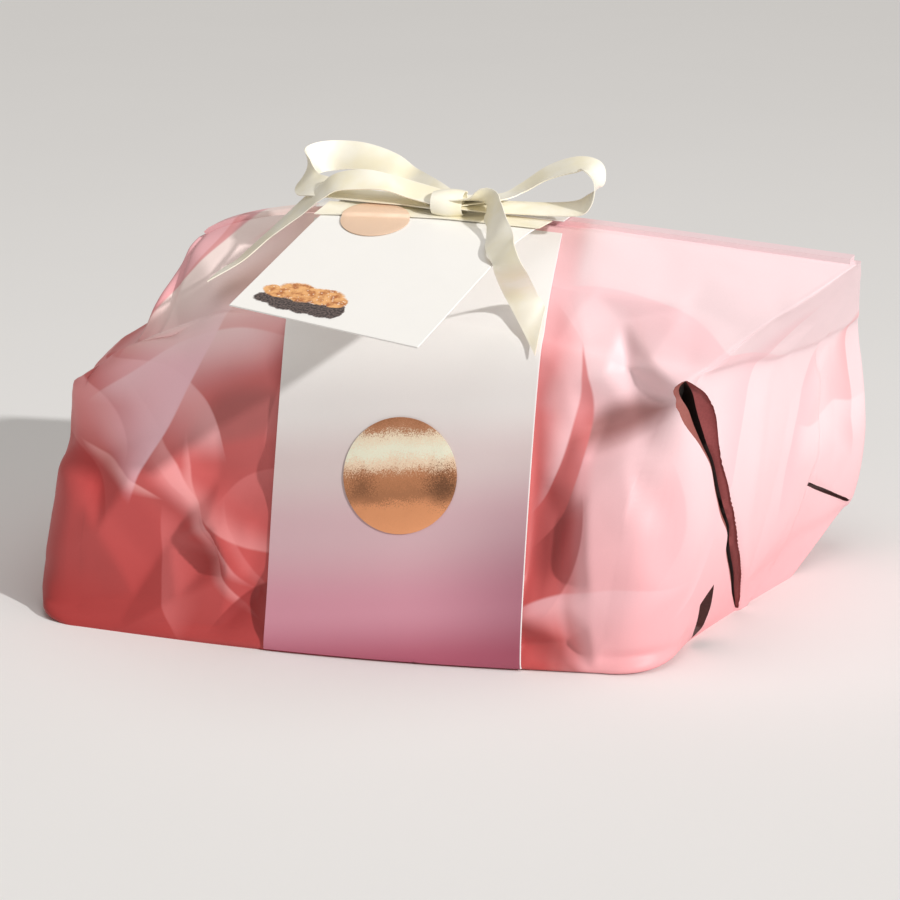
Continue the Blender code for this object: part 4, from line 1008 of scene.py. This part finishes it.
def makeBandPaper():
    material, tree, shader = newMaterial("bandPaper", Roughness=0.42, Specular_IOR_Level=0.4)
    place = objectPlace(tree)
    spots = addNode(tree, "ShaderNodeSeparateXYZ", {0: place}).outputs
    slant = math(tree, "MULTIPLY_ADD", spots["X"], bandPrint["slant"], spots["Z"])
    colour = colourRamp(tree, math(tree, "DIVIDE", slant, bandPrint["height"]), bandPrint["ramp"])
    # painted shade: the band darkens towards its lower right corner
    (cornerX, cornerZ), (reachX, reachZ), shadeTint = bandPrint["paintedShadeCorner"]
    awayX = math(tree, "DIVIDE", math(tree, "SUBTRACT", spots["X"], cornerX), reachX)
    awayZ = math(tree, "DIVIDE", math(tree, "SUBTRACT", spots["Z"], cornerZ), reachZ)
    squares = math(tree, "ADD", math(tree, "MULTIPLY", awayX, awayX), math(tree, "MULTIPLY", awayZ, awayZ))
    deep = mapRange(tree, math(tree, "SQRT", squares), 0.0, 1.0, 1.0, 0.0)
    colour = mixColour(tree, deep, colour, mixColour(tree, 1.0, colour, shadeTint, "MULTIPLY"))
    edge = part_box("band")[1][0] - bandPrint["bare"]
    bare = mapRange(tree, spots["X"], edge, edge + 0.0002, kind="LINEAR")
    colour = mixColour(tree, bare, colour, bandPrint["bareTint"])
    finishPaper(tree, shader, place, colour, bandPrint)
    return material


printedBand = buildBand(makeBandPaper())
print("band built")


# Foil seals

frontSeal = dict(radius=0.0294, thickness=0.0005, gap=0.0004, x=0.0299, height=0.0932, slant=0.960,
                 rings=12, sectors=72, crinkle=0.00012)
cardSeal = dict(radius=0.0172, place=(-0.0233, 0.0411), strandThickness=0.0009, strandMargin=0.0011, slope=0.003)


def discPiece(name, surface, radius, material):
    rings, sectors, thickness = frontSeal["rings"], frontSeal["sectors"], frontSeal["thickness"]
    points, faces = [], []
    for distance in (0.0, thickness):
        points.append(surface(0.0, 0.0, distance))
        for ring in range(1, rings + 1):
            reach = radius * ring / rings
            drop = thickness * 0.35 if distance and ring == rings else 0.0
            points += [surface(reach * cos(2 * pi * k / sectors), reach * sin(2 * pi * k / sectors), distance - drop)
                       for k in range(sectors)]
    layer = 1 + rings * sectors
    for base in (0, layer):
        for k in range(sectors):
            n = (k + 1) % sectors
            faces.append((base, base + 1 + k, base + 1 + n))
            for ring in range(rings - 1):
                a, b = base + 1 + ring * sectors, base + 1 + (ring + 1) * sectors
                faces.append((a + k, b + k, b + n, a + n))
    last = 1 + (rings - 1) * sectors
    for k in range(sectors):
        n = (k + 1) % sectors
        faces.append((last + k, last + n, layer + last + n, layer + last + k))
    piece = meshPiece(name, points, faces, [material])
    faceOutwards(piece)
    shadeSmooth(piece, 50)
    return piece


def makeFoil(name, tint, rough, node, radius, paintedSheen):
    # painted reflection: the foil's bright band, dark rims and scatter of fine glints are painted into its colour, over
    # a slightly metallic finish
    material, tree, shader = newMaterial(name, Metallic=0.25, Roughness=rough)
    centre = tuple(np.mean(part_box(node), axis=0))
    place = objectPlace(tree)
    grain = noiseField(tree, place, 1700.0, 3.0)
    ripple = noiseField(tree, place, 90.0, 6.0, 0.66)
    off = vectorMath(tree, "SUBTRACT", place, centre)
    share = math(tree, "DIVIDE", vectorMath(tree, "DOT_PRODUCT", off, paintedSheen["way"]), radius)
    share = math(tree, "MULTIPLY_ADD", fromMiddle(tree, ripple), paintedSheen["ripple"], share)
    share = math(tree, "MULTIPLY_ADD", fromMiddle(tree, grain), paintedSheen["grain"], share)
    stops = [(spot, tuple(min(c * amount + glow, 1.0) for c in tint)) for spot, amount, glow in paintedSheen["stops"]]
    colour = colourRamp(tree, math(tree, "MULTIPLY_ADD", share, 0.5, 0.5), stops)
    for across, up, reach, amount in paintedSheen["dark"]:
        spot = vectorMath(tree, "SUBTRACT", off, (across * radius, 0.0, up * radius))
        away = vectorMath(tree, "LENGTH", vectorMath(tree, "MULTIPLY", spot, (1.0, 0.0, 1.0)))
        away = math(tree, "MULTIPLY_ADD", fromMiddle(tree, grain), radius * 0.9, away)
        paintedDarkRim = mapRange(tree, away, reach * radius, 0.0)
        colour = mixColour(tree, math(tree, "MULTIPLY", paintedDarkRim, amount), colour, tuple(c * 0.16 for c in tint))
    tree.links.new(colour, shader.inputs["Base Color"])
    tree.links.new(math(tree, "MULTIPLY_ADD", grain["Fac"], 0.20, rough - 0.10), shader.inputs["Roughness"])
    fine = addNode(tree, "ShaderNodeBump", {"Height": grain["Fac"], "Strength": 0.30, "Distance": 0.0002})
    broad = addNode(tree, "ShaderNodeBump", {"Height": ripple["Fac"], "Strength": 0.40, "Distance": 0.0012,
                                             "Normal": fine.outputs["Normal"]})
    tree.links.new(broad.outputs["Normal"], shader.inputs["Normal"])
    return material


def frontSealSurface(across, up, distance):
    ahead, _ = section(frontSeal["x"] + across)
    height = frontSeal["height"] + up * frontSeal["slant"]
    a, b = pointAtHeight(ahead, height - 0.004), pointAtHeight(ahead, height + 0.004)
    rise = unit(b - a)
    lift = band["gap"] + band["thickness"] + frontSeal["gap"] + distance
    if distance:
        lift += frontSeal["crinkle"] * noise.noise(Vector((across * 90.0, up * 90.0, 4.0)))
    return pointAtHeight(ahead, height) + np.array([0.0, -rise[2], rise[1]]) * lift


# painted reflection for the front seal: a ramp from dark to a bright band, and two dark rims
paintedFoilSheen = dict(
    way=(-0.12, 0.0, 1.0), ripple=0.34, grain=0.50, dark=((0.78, -0.12, 0.46, 0.85), (-0.66, -0.22, 0.34, 0.55)),
    stops=((0.00, 1.05, 0.0), (0.24, 0.98, 0.0), (0.34, 0.55, 0.0), (0.50, 0.70, 0.0), (0.60, 1.10, 0.38),
           (0.70, 1.10, 0.62), (0.82, 1.10, 0.46), (0.90, 0.62, 0.02), (1.0, 0.50, 0.0)))
copperFoil = makeFoil("copperFoil", (0.84, 0.36, 0.17), 0.34, "seal_front", frontSeal["radius"], paintedFoilSheen)
sealFront = discPiece("frontSeal", frontSealSurface, frontSeal["radius"], copperFoil)
print("front seal laid")


# Card

card = dict(width=0.102, length=0.137, thickness=0.0008, place=(0.0399, -0.0660, 0.2205), yaw=radians(-9.0),
            roll=radians(-5.3), pitch=(radians(1.0), radians(18.5)), droopEnd=0.060, stations=56,
            bevel=0.00018, faceSteps=16, bendSteps=24)


def cardFrame():
    across = np.array([cos(card["yaw"]) * cos(card["roll"]), sin(card["yaw"]) * cos(card["roll"]), sin(card["roll"])])
    up = unit(np.array([0.0, 0.0, 1.0]) - across * across[2])
    return across, np.cross(across, up), up


def cardPitch(down):
    return lerp(*card["pitch"], min(max(down / card["droopEnd"], 0.0), 1.0))


def cardPoint(across, down, lift):
    side, ahead, up = cardFrame()
    place = np.array(card["place"])
    steps = card["bendSteps"]
    for i in range(steps):
        pitch = cardPitch(down * (i + 0.5) / steps)
        place = place + (ahead * cos(pitch) - up * sin(pitch)) * (down / steps)
    pitch = cardPitch(down)
    return place + side * across + (up * cos(pitch) + ahead * sin(pitch)) * lift


cardCorners = [cardPoint(across, down, lift) for across in (-card["width"] / 2, card["width"] / 2)
               for down in (0.0, card["length"]) for lift in (-card["thickness"] / 2, card["thickness"] / 2)]
packShift = np.array(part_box("card")[0]) - np.min(cardCorners, axis=0)
packShift[2] = 0.0
print("pack shift", [round(float(value), 5) for value in packShift])


def buildCard(material):
    half, rise, bevel, steps = card["width"] / 2, card["thickness"] / 2, card["bevel"], card["faceSteps"]
    profile = [(-half, -rise + bevel), (-half, rise - bevel), (-half + bevel, rise)]
    profile += [(lerp(-half + bevel, half - bevel, i / steps), rise) for i in range(1, steps)]
    profile += [(half - bevel, rise), (half, rise - bevel), (half, -rise + bevel), (half - bevel, -rise)]
    profile += [(lerp(half - bevel, -half + bevel, i / steps), -rise) for i in range(1, steps)]
    profile.append((-half + bevel, -rise))
    size = len(profile)
    points, places = [], []
    for i in range(card["stations"] + 1):
        down = card["length"] * i / card["stations"]
        points += [cardPoint(across, down, lift) for across, lift in profile]
        places += [(across, down) if lift > 0 else (1.0, 1.0) for across, lift in profile]
    faces = [tuple(range(size)), tuple(card["stations"] * size + n for n in range(size))[::-1]]
    faces += tubeFaces(card["stations"] + 1, size)
    piece = meshPiece("hangingCard", points, faces, [material])
    face = piece.data.uv_layers.new(name="face")
    for loop in piece.data.loops:
        face.data[loop.index].uv = places[loop.vertex_index]
    faceOutwards(piece)
    shadeSmooth(piece, 30)
    return piece


# Picture on the card: rounded fields as (middle across, middle down, half width, half height, turn in degrees)
cardPicture = dict(
    case=((-0.0365, 0.1244, 0.0080, 0.0050, 12), (-0.0265, 0.1264, 0.0092, 0.0056, 8),
          (-0.0165, 0.1266, 0.0088, 0.0054, 4), (-0.0070, 0.1258, 0.0090, 0.0062, -4),
          (-0.0002, 0.1246, 0.0044, 0.0066, -15)),
    crust=((-0.0355, 0.1182, 0.0084, 0.0048, -14), (-0.0240, 0.1152, 0.0134, 0.0080, -6),
           (-0.0120, 0.1146, 0.0124, 0.0074, 6), (-0.0036, 0.1168, 0.0062, 0.0050, 18)),
    card=(0.90, 0.885, 0.855), shadow=(0.80, 0.78, 0.77), caseDark=(0.045, 0.036, 0.036), caseLit=(0.16, 0.12, 0.11),
    crustDark=(0.46, 0.16, 0.055), crustLit=(0.86, 0.46, 0.19), sugar=(0.95, 0.76, 0.60),
    grain=(1500.0, 60.0, 0.06), bump=0.15)


def roundedFields(tree, place, fields, rim):
    # one where any of the turned ellipses lies, with a soft rim
    whole = None
    for across, down, halfWidth, halfHeight, turn in fields:
        off = vectorMath(tree, "SUBTRACT", place, (across, down, 0.0))
        turned = addNode(tree, "ShaderNodeVectorRotate", {"Vector": off, "Angle": radians(turn)},
                         rotation_type="Z_AXIS").outputs["Vector"]
        reach = vectorMath(tree, "LENGTH", vectorMath(tree, "DIVIDE", turned, (halfWidth, halfHeight, 1.0)))
        inside = math(tree, "MULTIPLY", math(tree, "SUBTRACT", 1.0, reach), 1.0 / rim, clamp=True)
        whole = inside if whole is None else math(tree, "MAXIMUM", whole, inside)
    return whole


def makeCardStock():
    material, tree, shader = newMaterial("cardStock", Roughness=0.58, Specular_IOR_Level=0.35)
    flat = addNode(tree, "ShaderNodeUVMap", uv_map="face").outputs["UV"]
    jitter = vectorMath(tree, "SUBTRACT", noiseField(tree, flat, 420.0, 2.0)["Color"], (0.5, 0.5, 0.5))
    spot = vectorMath(tree, "ADD", flat, vectorMath(tree, "SCALE", jitter, 0.0022))
    low = vectorMath(tree, "SUBTRACT", spot, (0.0006, 0.0016, 0.0))
    underCase = math(tree, "MULTIPLY", roundedFields(tree, low, cardPicture["case"], 0.6), 0.7)
    colour = mixColour(tree, underCase, cardPicture["card"], cardPicture["shadow"])
    pleats = noiseField(tree, flat, 900.0, 2.0)
    caseTint = colourRamp(tree, pleats["Fac"], ((0.35, cardPicture["caseDark"]), (0.66, cardPicture["caseLit"])))
    colour = mixColour(tree, roundedFields(tree, spot, cardPicture["case"], 0.14), colour, caseTint)
    browning = noiseField(tree, flat, 260.0, 4.0, 0.6)
    crustTint = colourRamp(tree, browning["Fac"], ((0.34, cardPicture["crustDark"]), (0.60, cardPicture["crustLit"])))
    pearls = addNode(tree, "ShaderNodeTexVoronoi", {"Vector": flat, "Scale": 480.0}).outputs["Distance"]
    pearl = math(tree, "MULTIPLY", math(tree, "LESS_THAN", pearls, 0.22), 0.75)
    crustTint = mixColour(tree, pearl, crustTint, cardPicture["sugar"])
    colour = mixColour(tree, roundedFields(tree, spot, cardPicture["crust"], 0.14), colour, crustTint)
    finishPaper(tree, shader, objectPlace(tree), colour, cardPicture)
    return material


hangingCard = buildCard(makeCardStock())
print("card built")


# Ribbon: each strand is a row of stations, with the middle of the ribbon and the way it faces across its width

ribbon = dict(width=0.0155, thickness=0.00055, steps=8, knotPlace=(0.0425, -0.0850, 0.2254),
              knotSize=(0.0085, 0.0072, 0.0054), pinch=0.55, pinchSteps=2, cutReach=0.016, cutRoom=0.022,
              cup=0.0005)
satin = dict(threadPitch=0.00055, selvedge=(0.0066, 0.0074), dull=(0.95, 0.88, 0.66), bright=(0.99, 0.955, 0.83),
             edgeTint=(0.97, 0.93, 0.82))
knotCore = dict(segments=48, rings=32, pleatDepth=0.07, pleats=9, pleatLean=3)
knotTurn = dict(steps=40, start=0.6, reach=(0.0012, 0.0074, 0.0056), width=0.42, unevenness=0.05, cup=0.0012)
strands = dict(
    leftLoop=dict(pinched=(True, True), cut=0.0, stations=(
        ((0.0395, -0.0825, 0.2265), (0.24, -0.96, -0.14)), ((0.0163, -0.0596, 0.2285), (0.26, -0.77, -0.58)),
        ((0.0008, -0.0507, 0.2354), (0.09, -0.80, -0.59)), ((-0.0161, -0.0467, 0.2384), (0.02, -0.62, -0.79)),
        ((-0.0309, -0.0456, 0.2380), (-0.05, -0.35, -0.93)), ((-0.0398, -0.0526, 0.2368), (0.43, 0.03, -0.90)),
        ((-0.0418, -0.0615, 0.2324), (-0.46, 0.20, -0.86)), ((-0.0374, -0.0714, 0.2279), (-0.63, -0.36, -0.68)),
        ((-0.0272, -0.0790, 0.2282), (-0.41, -0.78, -0.48)), ((-0.0140, -0.0830, 0.2268), (-0.14, -0.96, -0.22)),
        ((0.0032, -0.0830, 0.2257), (0.32, -0.93, -0.17)), ((0.0209, -0.0805, 0.2249), (0.31, -0.93, -0.18)),
        ((0.0385, -0.0835, 0.2245), (0.31, -0.94, -0.15)))),
    rightLoop=dict(pinched=(True, True), cut=0.0, stations=(
        ((0.0455, -0.0835, 0.2265), (0.30, -0.94, -0.14)), ((0.0647, -0.0665, 0.2264), (0.38, -0.93, 0.02)),
        ((0.0733, -0.0595, 0.2299), (0.41, -0.91, -0.07)), ((0.0852, -0.0565, 0.2376), (0.20, -0.93, -0.30)),
        ((0.0981, -0.0585, 0.2426), (0.04, -0.92, -0.38)), ((0.1080, -0.0620, 0.2436), (-0.06, -0.95, -0.28)),
        ((0.1128, -0.0660, 0.2408), (-0.10, -0.98, -0.12)), ((0.1150, -0.0690, 0.2355), (0.05, -0.98, -0.05)),
        ((0.1124, -0.0695, 0.2288), (0.25, -0.93, -0.18)), ((0.1060, -0.0690, 0.2240), (0.50, -0.85, -0.20)),
        ((0.0924, -0.0690, 0.2222), (0.36, -0.91, -0.21)), ((0.0749, -0.0710, 0.2222), (0.28, -0.94, -0.20)),
        ((0.0615, -0.0750, 0.2228), (0.29, -0.94, -0.20)), ((0.0460, -0.0835, 0.2248), (0.30, -0.95, -0.11)))),
    leftTail=dict(pinched=(True, False), cut=0.012, stations=(
        ((0.0390, -0.0850, 0.2275), (0.21, -0.93, -0.31)), ((0.0229, -0.0840, 0.2306), (0.13, -0.93, -0.35)),
        ((0.0108, -0.0865, 0.2341), (0.22, -0.91, -0.35)), ((-0.0024, -0.0875, 0.2349), (0.30, -0.84, -0.45)),
        ((-0.0156, -0.0870, 0.2327), (0.48, -0.83, -0.29)), ((-0.0252, -0.0858, 0.2264), (0.58, -0.81, 0.00)),
        ((-0.0385, -0.0835, 0.2156), (0.69, -0.70, 0.18)), ((-0.0532, -0.0850, 0.2029), (0.68, -0.66, 0.32)),
        ((-0.0672, -0.0895, 0.1901), (0.66, -0.70, 0.28)), ((-0.0780, -0.0930, 0.1830), (0.66, -0.70, 0.28)))),
    rightTail=dict(pinched=(True, False), cut=-0.019, stations=(
        ((0.0460, -0.0850, 0.2270), (0.40, -0.88, 0.20)), ((0.0620, -0.0877, 0.2286), (0.60, -0.77, 0.19)),
        ((0.0710, -0.1005, 0.2251), (0.61, -0.79, 0.07)), ((0.0771, -0.1139, 0.2183), (0.71, -0.70, 0.10)),
        ((0.0853, -0.1320, 0.2133), (0.86, -0.44, 0.24)), ((0.0889, -0.1312, 0.2038), (0.93, -0.10, 0.26)),
        ((0.0852, -0.1004, 0.1852), (0.88, 0.00, 0.40)), ((0.0907, -0.0975, 0.1737), (0.80, 0.10, 0.50)),
        ((0.0954, -0.1004, 0.1671), (0.80, 0.10, 0.50)))))
flatStrand = dict(route=((-0.0535, 0.0411), (0.0055, 0.0185), (0.0535, 0.0056)), width=0.0105, lift=0.0012,
                  steps=20)


def strandStations(strand):
    middles = np.array([middle for middle, _ in strand["stations"]])
    ways = unit(np.array([way for _, way in strand["stations"]]))
    steps, last = ribbon["steps"], len(middles) - 1
    points, across, widths = [], [], []
    count = last * steps
    for k in range(count + 1):
        i = min(k // steps, last - 1)
        t = k / steps - i
        picks = [min(max(n, 0), last) for n in (i - 1, i, i + 1, i + 2)]
        points.append(spline(*(middles[n] for n in picks), t))
        across.append(unit(spline(*(ways[n] for n in picks), t)))
        width = 1.0
        for pinched, distance in zip(strand["pinched"], (k, count - k)):
            if pinched:
                share = min(distance / (ribbon["pinchSteps"] * steps), 1.0)
                width *= lerp(ribbon["pinch"], 1.0, share)
        widths.append(width)
    points = np.array(points)
    runs = unit(np.gradient(points, axis=0))
    across = np.array(across)
    across = unit(across - runs * (across * runs).sum(axis=1, keepdims=True))
    return points, across, widths


def slantEnd(piece, end, run, across, halfWidth, cut):
    # draws the last few millimetres of a strand into a slanting cut
    coords = pointsOf(piece)
    away = (coords - end) @ run
    share = np.clip((away + ribbon["cutReach"]) / ribbon["cutReach"], 0.0, 1.0)
    share *= np.linalg.norm(coords - end, axis=1) < ribbon["cutRoom"]
    sideways = np.clip((coords - end) @ across / halfWidth, -1.0, 1.0)
    setPoints(piece, coords + np.outer(share * sideways * cut / 2, run))


def makeSatin():
    material, tree, shader = newMaterial("creamSatin", Roughness=0.38, Sheen_Weight=0.25, Sheen_Roughness=0.35,
                                         Anisotropic=0.35)
    weave = addNode(tree, "ShaderNodeUVMap", uv_map="weave").outputs["UV"]
    spots = addNode(tree, "ShaderNodeSeparateXYZ", {0: weave}).outputs
    threads = math(tree, "SINE", math(tree, "MULTIPLY", spots["Y"], 2 * pi / satin["threadPitch"]))
    slub = noiseField(tree, weave, 260.0, 4.0)
    cloud = noiseField(tree, objectPlace(tree), 45.0, 3.0)
    selvedge = mapRange(tree, math(tree, "ABSOLUTE", spots["X"]), *satin["selvedge"])
    colour = colourRamp(tree, cloud["Fac"], ((0.32, satin["dull"]), (0.68, satin["bright"])))
    colour = mixColour(tree, math(tree, "MULTIPLY", selvedge, 0.45), colour, satin["edgeTint"])
    tree.links.new(colour, shader.inputs["Base Color"])
    height = math(tree, "MULTIPLY_ADD", threads, 0.25, math(tree, "MULTIPLY", slub["Fac"], 0.6))
    height = math(tree, "ADD", height, math(tree, "MULTIPLY", selvedge, 0.8))
    addBump(tree, shader, height, 0.22, 0.0002)
    return material


def buildKnot(material):
    # a soft pinched core with pleats, held by a short turn of ribbon across its front
    bm = bmesh.new()
    bmesh.ops.create_uvsphere(bm, u_segments=knotCore["segments"], v_segments=knotCore["rings"], radius=1.0)
    for vert in bm.verts:
        x, y, z = vert.co
        pleat = 1.0 + knotCore["pleatDepth"] * cos(knotCore["pleats"] * z + knotCore["pleatLean"] * x) * (1 - x * x)
        vert.co = Vector(ribbon["knotPlace"]) + Vector([a * b * pleat for a, b in zip((x, y, z), ribbon["knotSize"])])
    mesh = bpy.data.meshes.new("knotCore")
    bm.to_mesh(mesh)
    bm.free()
    mesh.materials.append(material)
    mesh.uv_layers.new(name="weave")
    core = newObject("knotCore", mesh)
    shadeSmooth(core, 60)
    middles, ways, widths = [], [], []
    for k in range(knotTurn["steps"] + 1):
        turn = 2 * pi * k / knotTurn["steps"] + knotTurn["start"]
        spot = np.array(knotTurn["reach"]) * (sin(turn * 0.5), cos(turn), sin(turn))
        middles.append(np.array(ribbon["knotPlace"]) + spot)
        ways.append(unit(np.array([1.0, 0.25, 0.10 * cos(turn)])))
        widths.append(knotTurn["width"] + knotTurn["unevenness"] * sin(5 * k))
    turnStrip = stripPiece("knotTurn", middles, ways, widths, ribbon["width"] / 2, ribbon["thickness"], material,
                           cup=knotTurn["cup"])
    return [core, turnStrip]


def buildRibbon(material):
    parts = buildKnot(material)
    half = ribbon["width"] / 2
    for name, strand in strands.items():
        points, across, widths = strandStations(strand)
        part = stripPiece(name, points, across, widths, half, ribbon["thickness"], material,
                          cup=ribbon["cup"])
        if strand["cut"]:
            slantEnd(part, points[-1], unit(points[-1] - points[-2]), across[-1], half, strand["cut"])
        parts.append(part)
    route, steps = [], flatStrand["steps"]
    for a, b in zip(flatStrand["route"], flatStrand["route"][1:]):
        route += [(lerp(a[0], b[0], i / steps), lerp(a[1], b[1], i / steps)) for i in range(steps)]
    route.append(flatStrand["route"][-1])
    middles = [cardPoint(x, d, flatStrand["lift"]) for x, d in route]
    ways = [unit(cardPoint(x, d + 0.001, 0.0) - cardPoint(x, d - 0.001, 0.0)) for x, d in route]
    parts.append(stripPiece("flatStrand", middles, ways, [flatStrand["width"] / ribbon["width"]] * len(route), half,
                            ribbon["thickness"], material, cup=0.0))
    return joinPieces("satinRibbon", parts)


satinRibbon = buildRibbon(makeSatin())
print("ribbon tied:", len(satinRibbon.data.polygons), "faces")


def cardSealSurface(across, down, distance):
    (ax, ay), (bx, by) = flatStrand["route"][:2]
    run = sqrt((bx - ax) ** 2 + (by - ay) ** 2)
    full = flatStrand["width"] / 2 + cardSeal["strandMargin"]
    overStrand = flatStrand["lift"] + cardSeal["strandThickness"] / 2 + frontSeal["gap"]
    x, y = across + cardSeal["place"][0], down + cardSeal["place"][1]
    away = abs((bx - ax) * (y - ay) - (by - ay) * (x - ax)) / run
    t = min(max((away - full) / cardSeal["slope"], 0.0), 1.0)
    lift = lerp(overStrand, card["thickness"] / 2 + frontSeal["gap"], t * t * (3 - 2 * t))
    return cardPoint(x, y, lift + distance)


# painted sheen for the card's seal: a soft bright band across it
paintedSoftSheen = dict(way=(0.25, 0.30, 0.9), ripple=0.12, grain=0.10, dark=(),
                 stops=((0.0, 0.92, 0.0), (0.45, 1.0, 0.02), (0.75, 1.0, 0.08), (1.0, 0.94, 0.02)))
peachFoil = makeFoil("peachFoil", (0.92, 0.66, 0.48), 0.42, "seal_card", cardSeal["radius"], paintedSoftSheen)
sealCard = discPiece("cardSeal", cardSealSurface, cardSeal["radius"], peachFoil)
print("card seal laid")


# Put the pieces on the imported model

giftWrap = joinPieces("giftWrap", [giftWrap, seam])
for piece, node, slot in ((giftWrap, "wrap", "wrap_paper"), (printedBand, "band", "band_paper"),
                          (sealFront, "seal_front", "foil"), (hangingCard, "card", "card_stock"),
                          (sealCard, "seal_card", "foil"), (satinRibbon, "ribbon", "satin")):
    setPoints(piece, pointsOf(piece) + packShift)
    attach(piece, "root")
    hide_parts(node)

print("pieces placed")
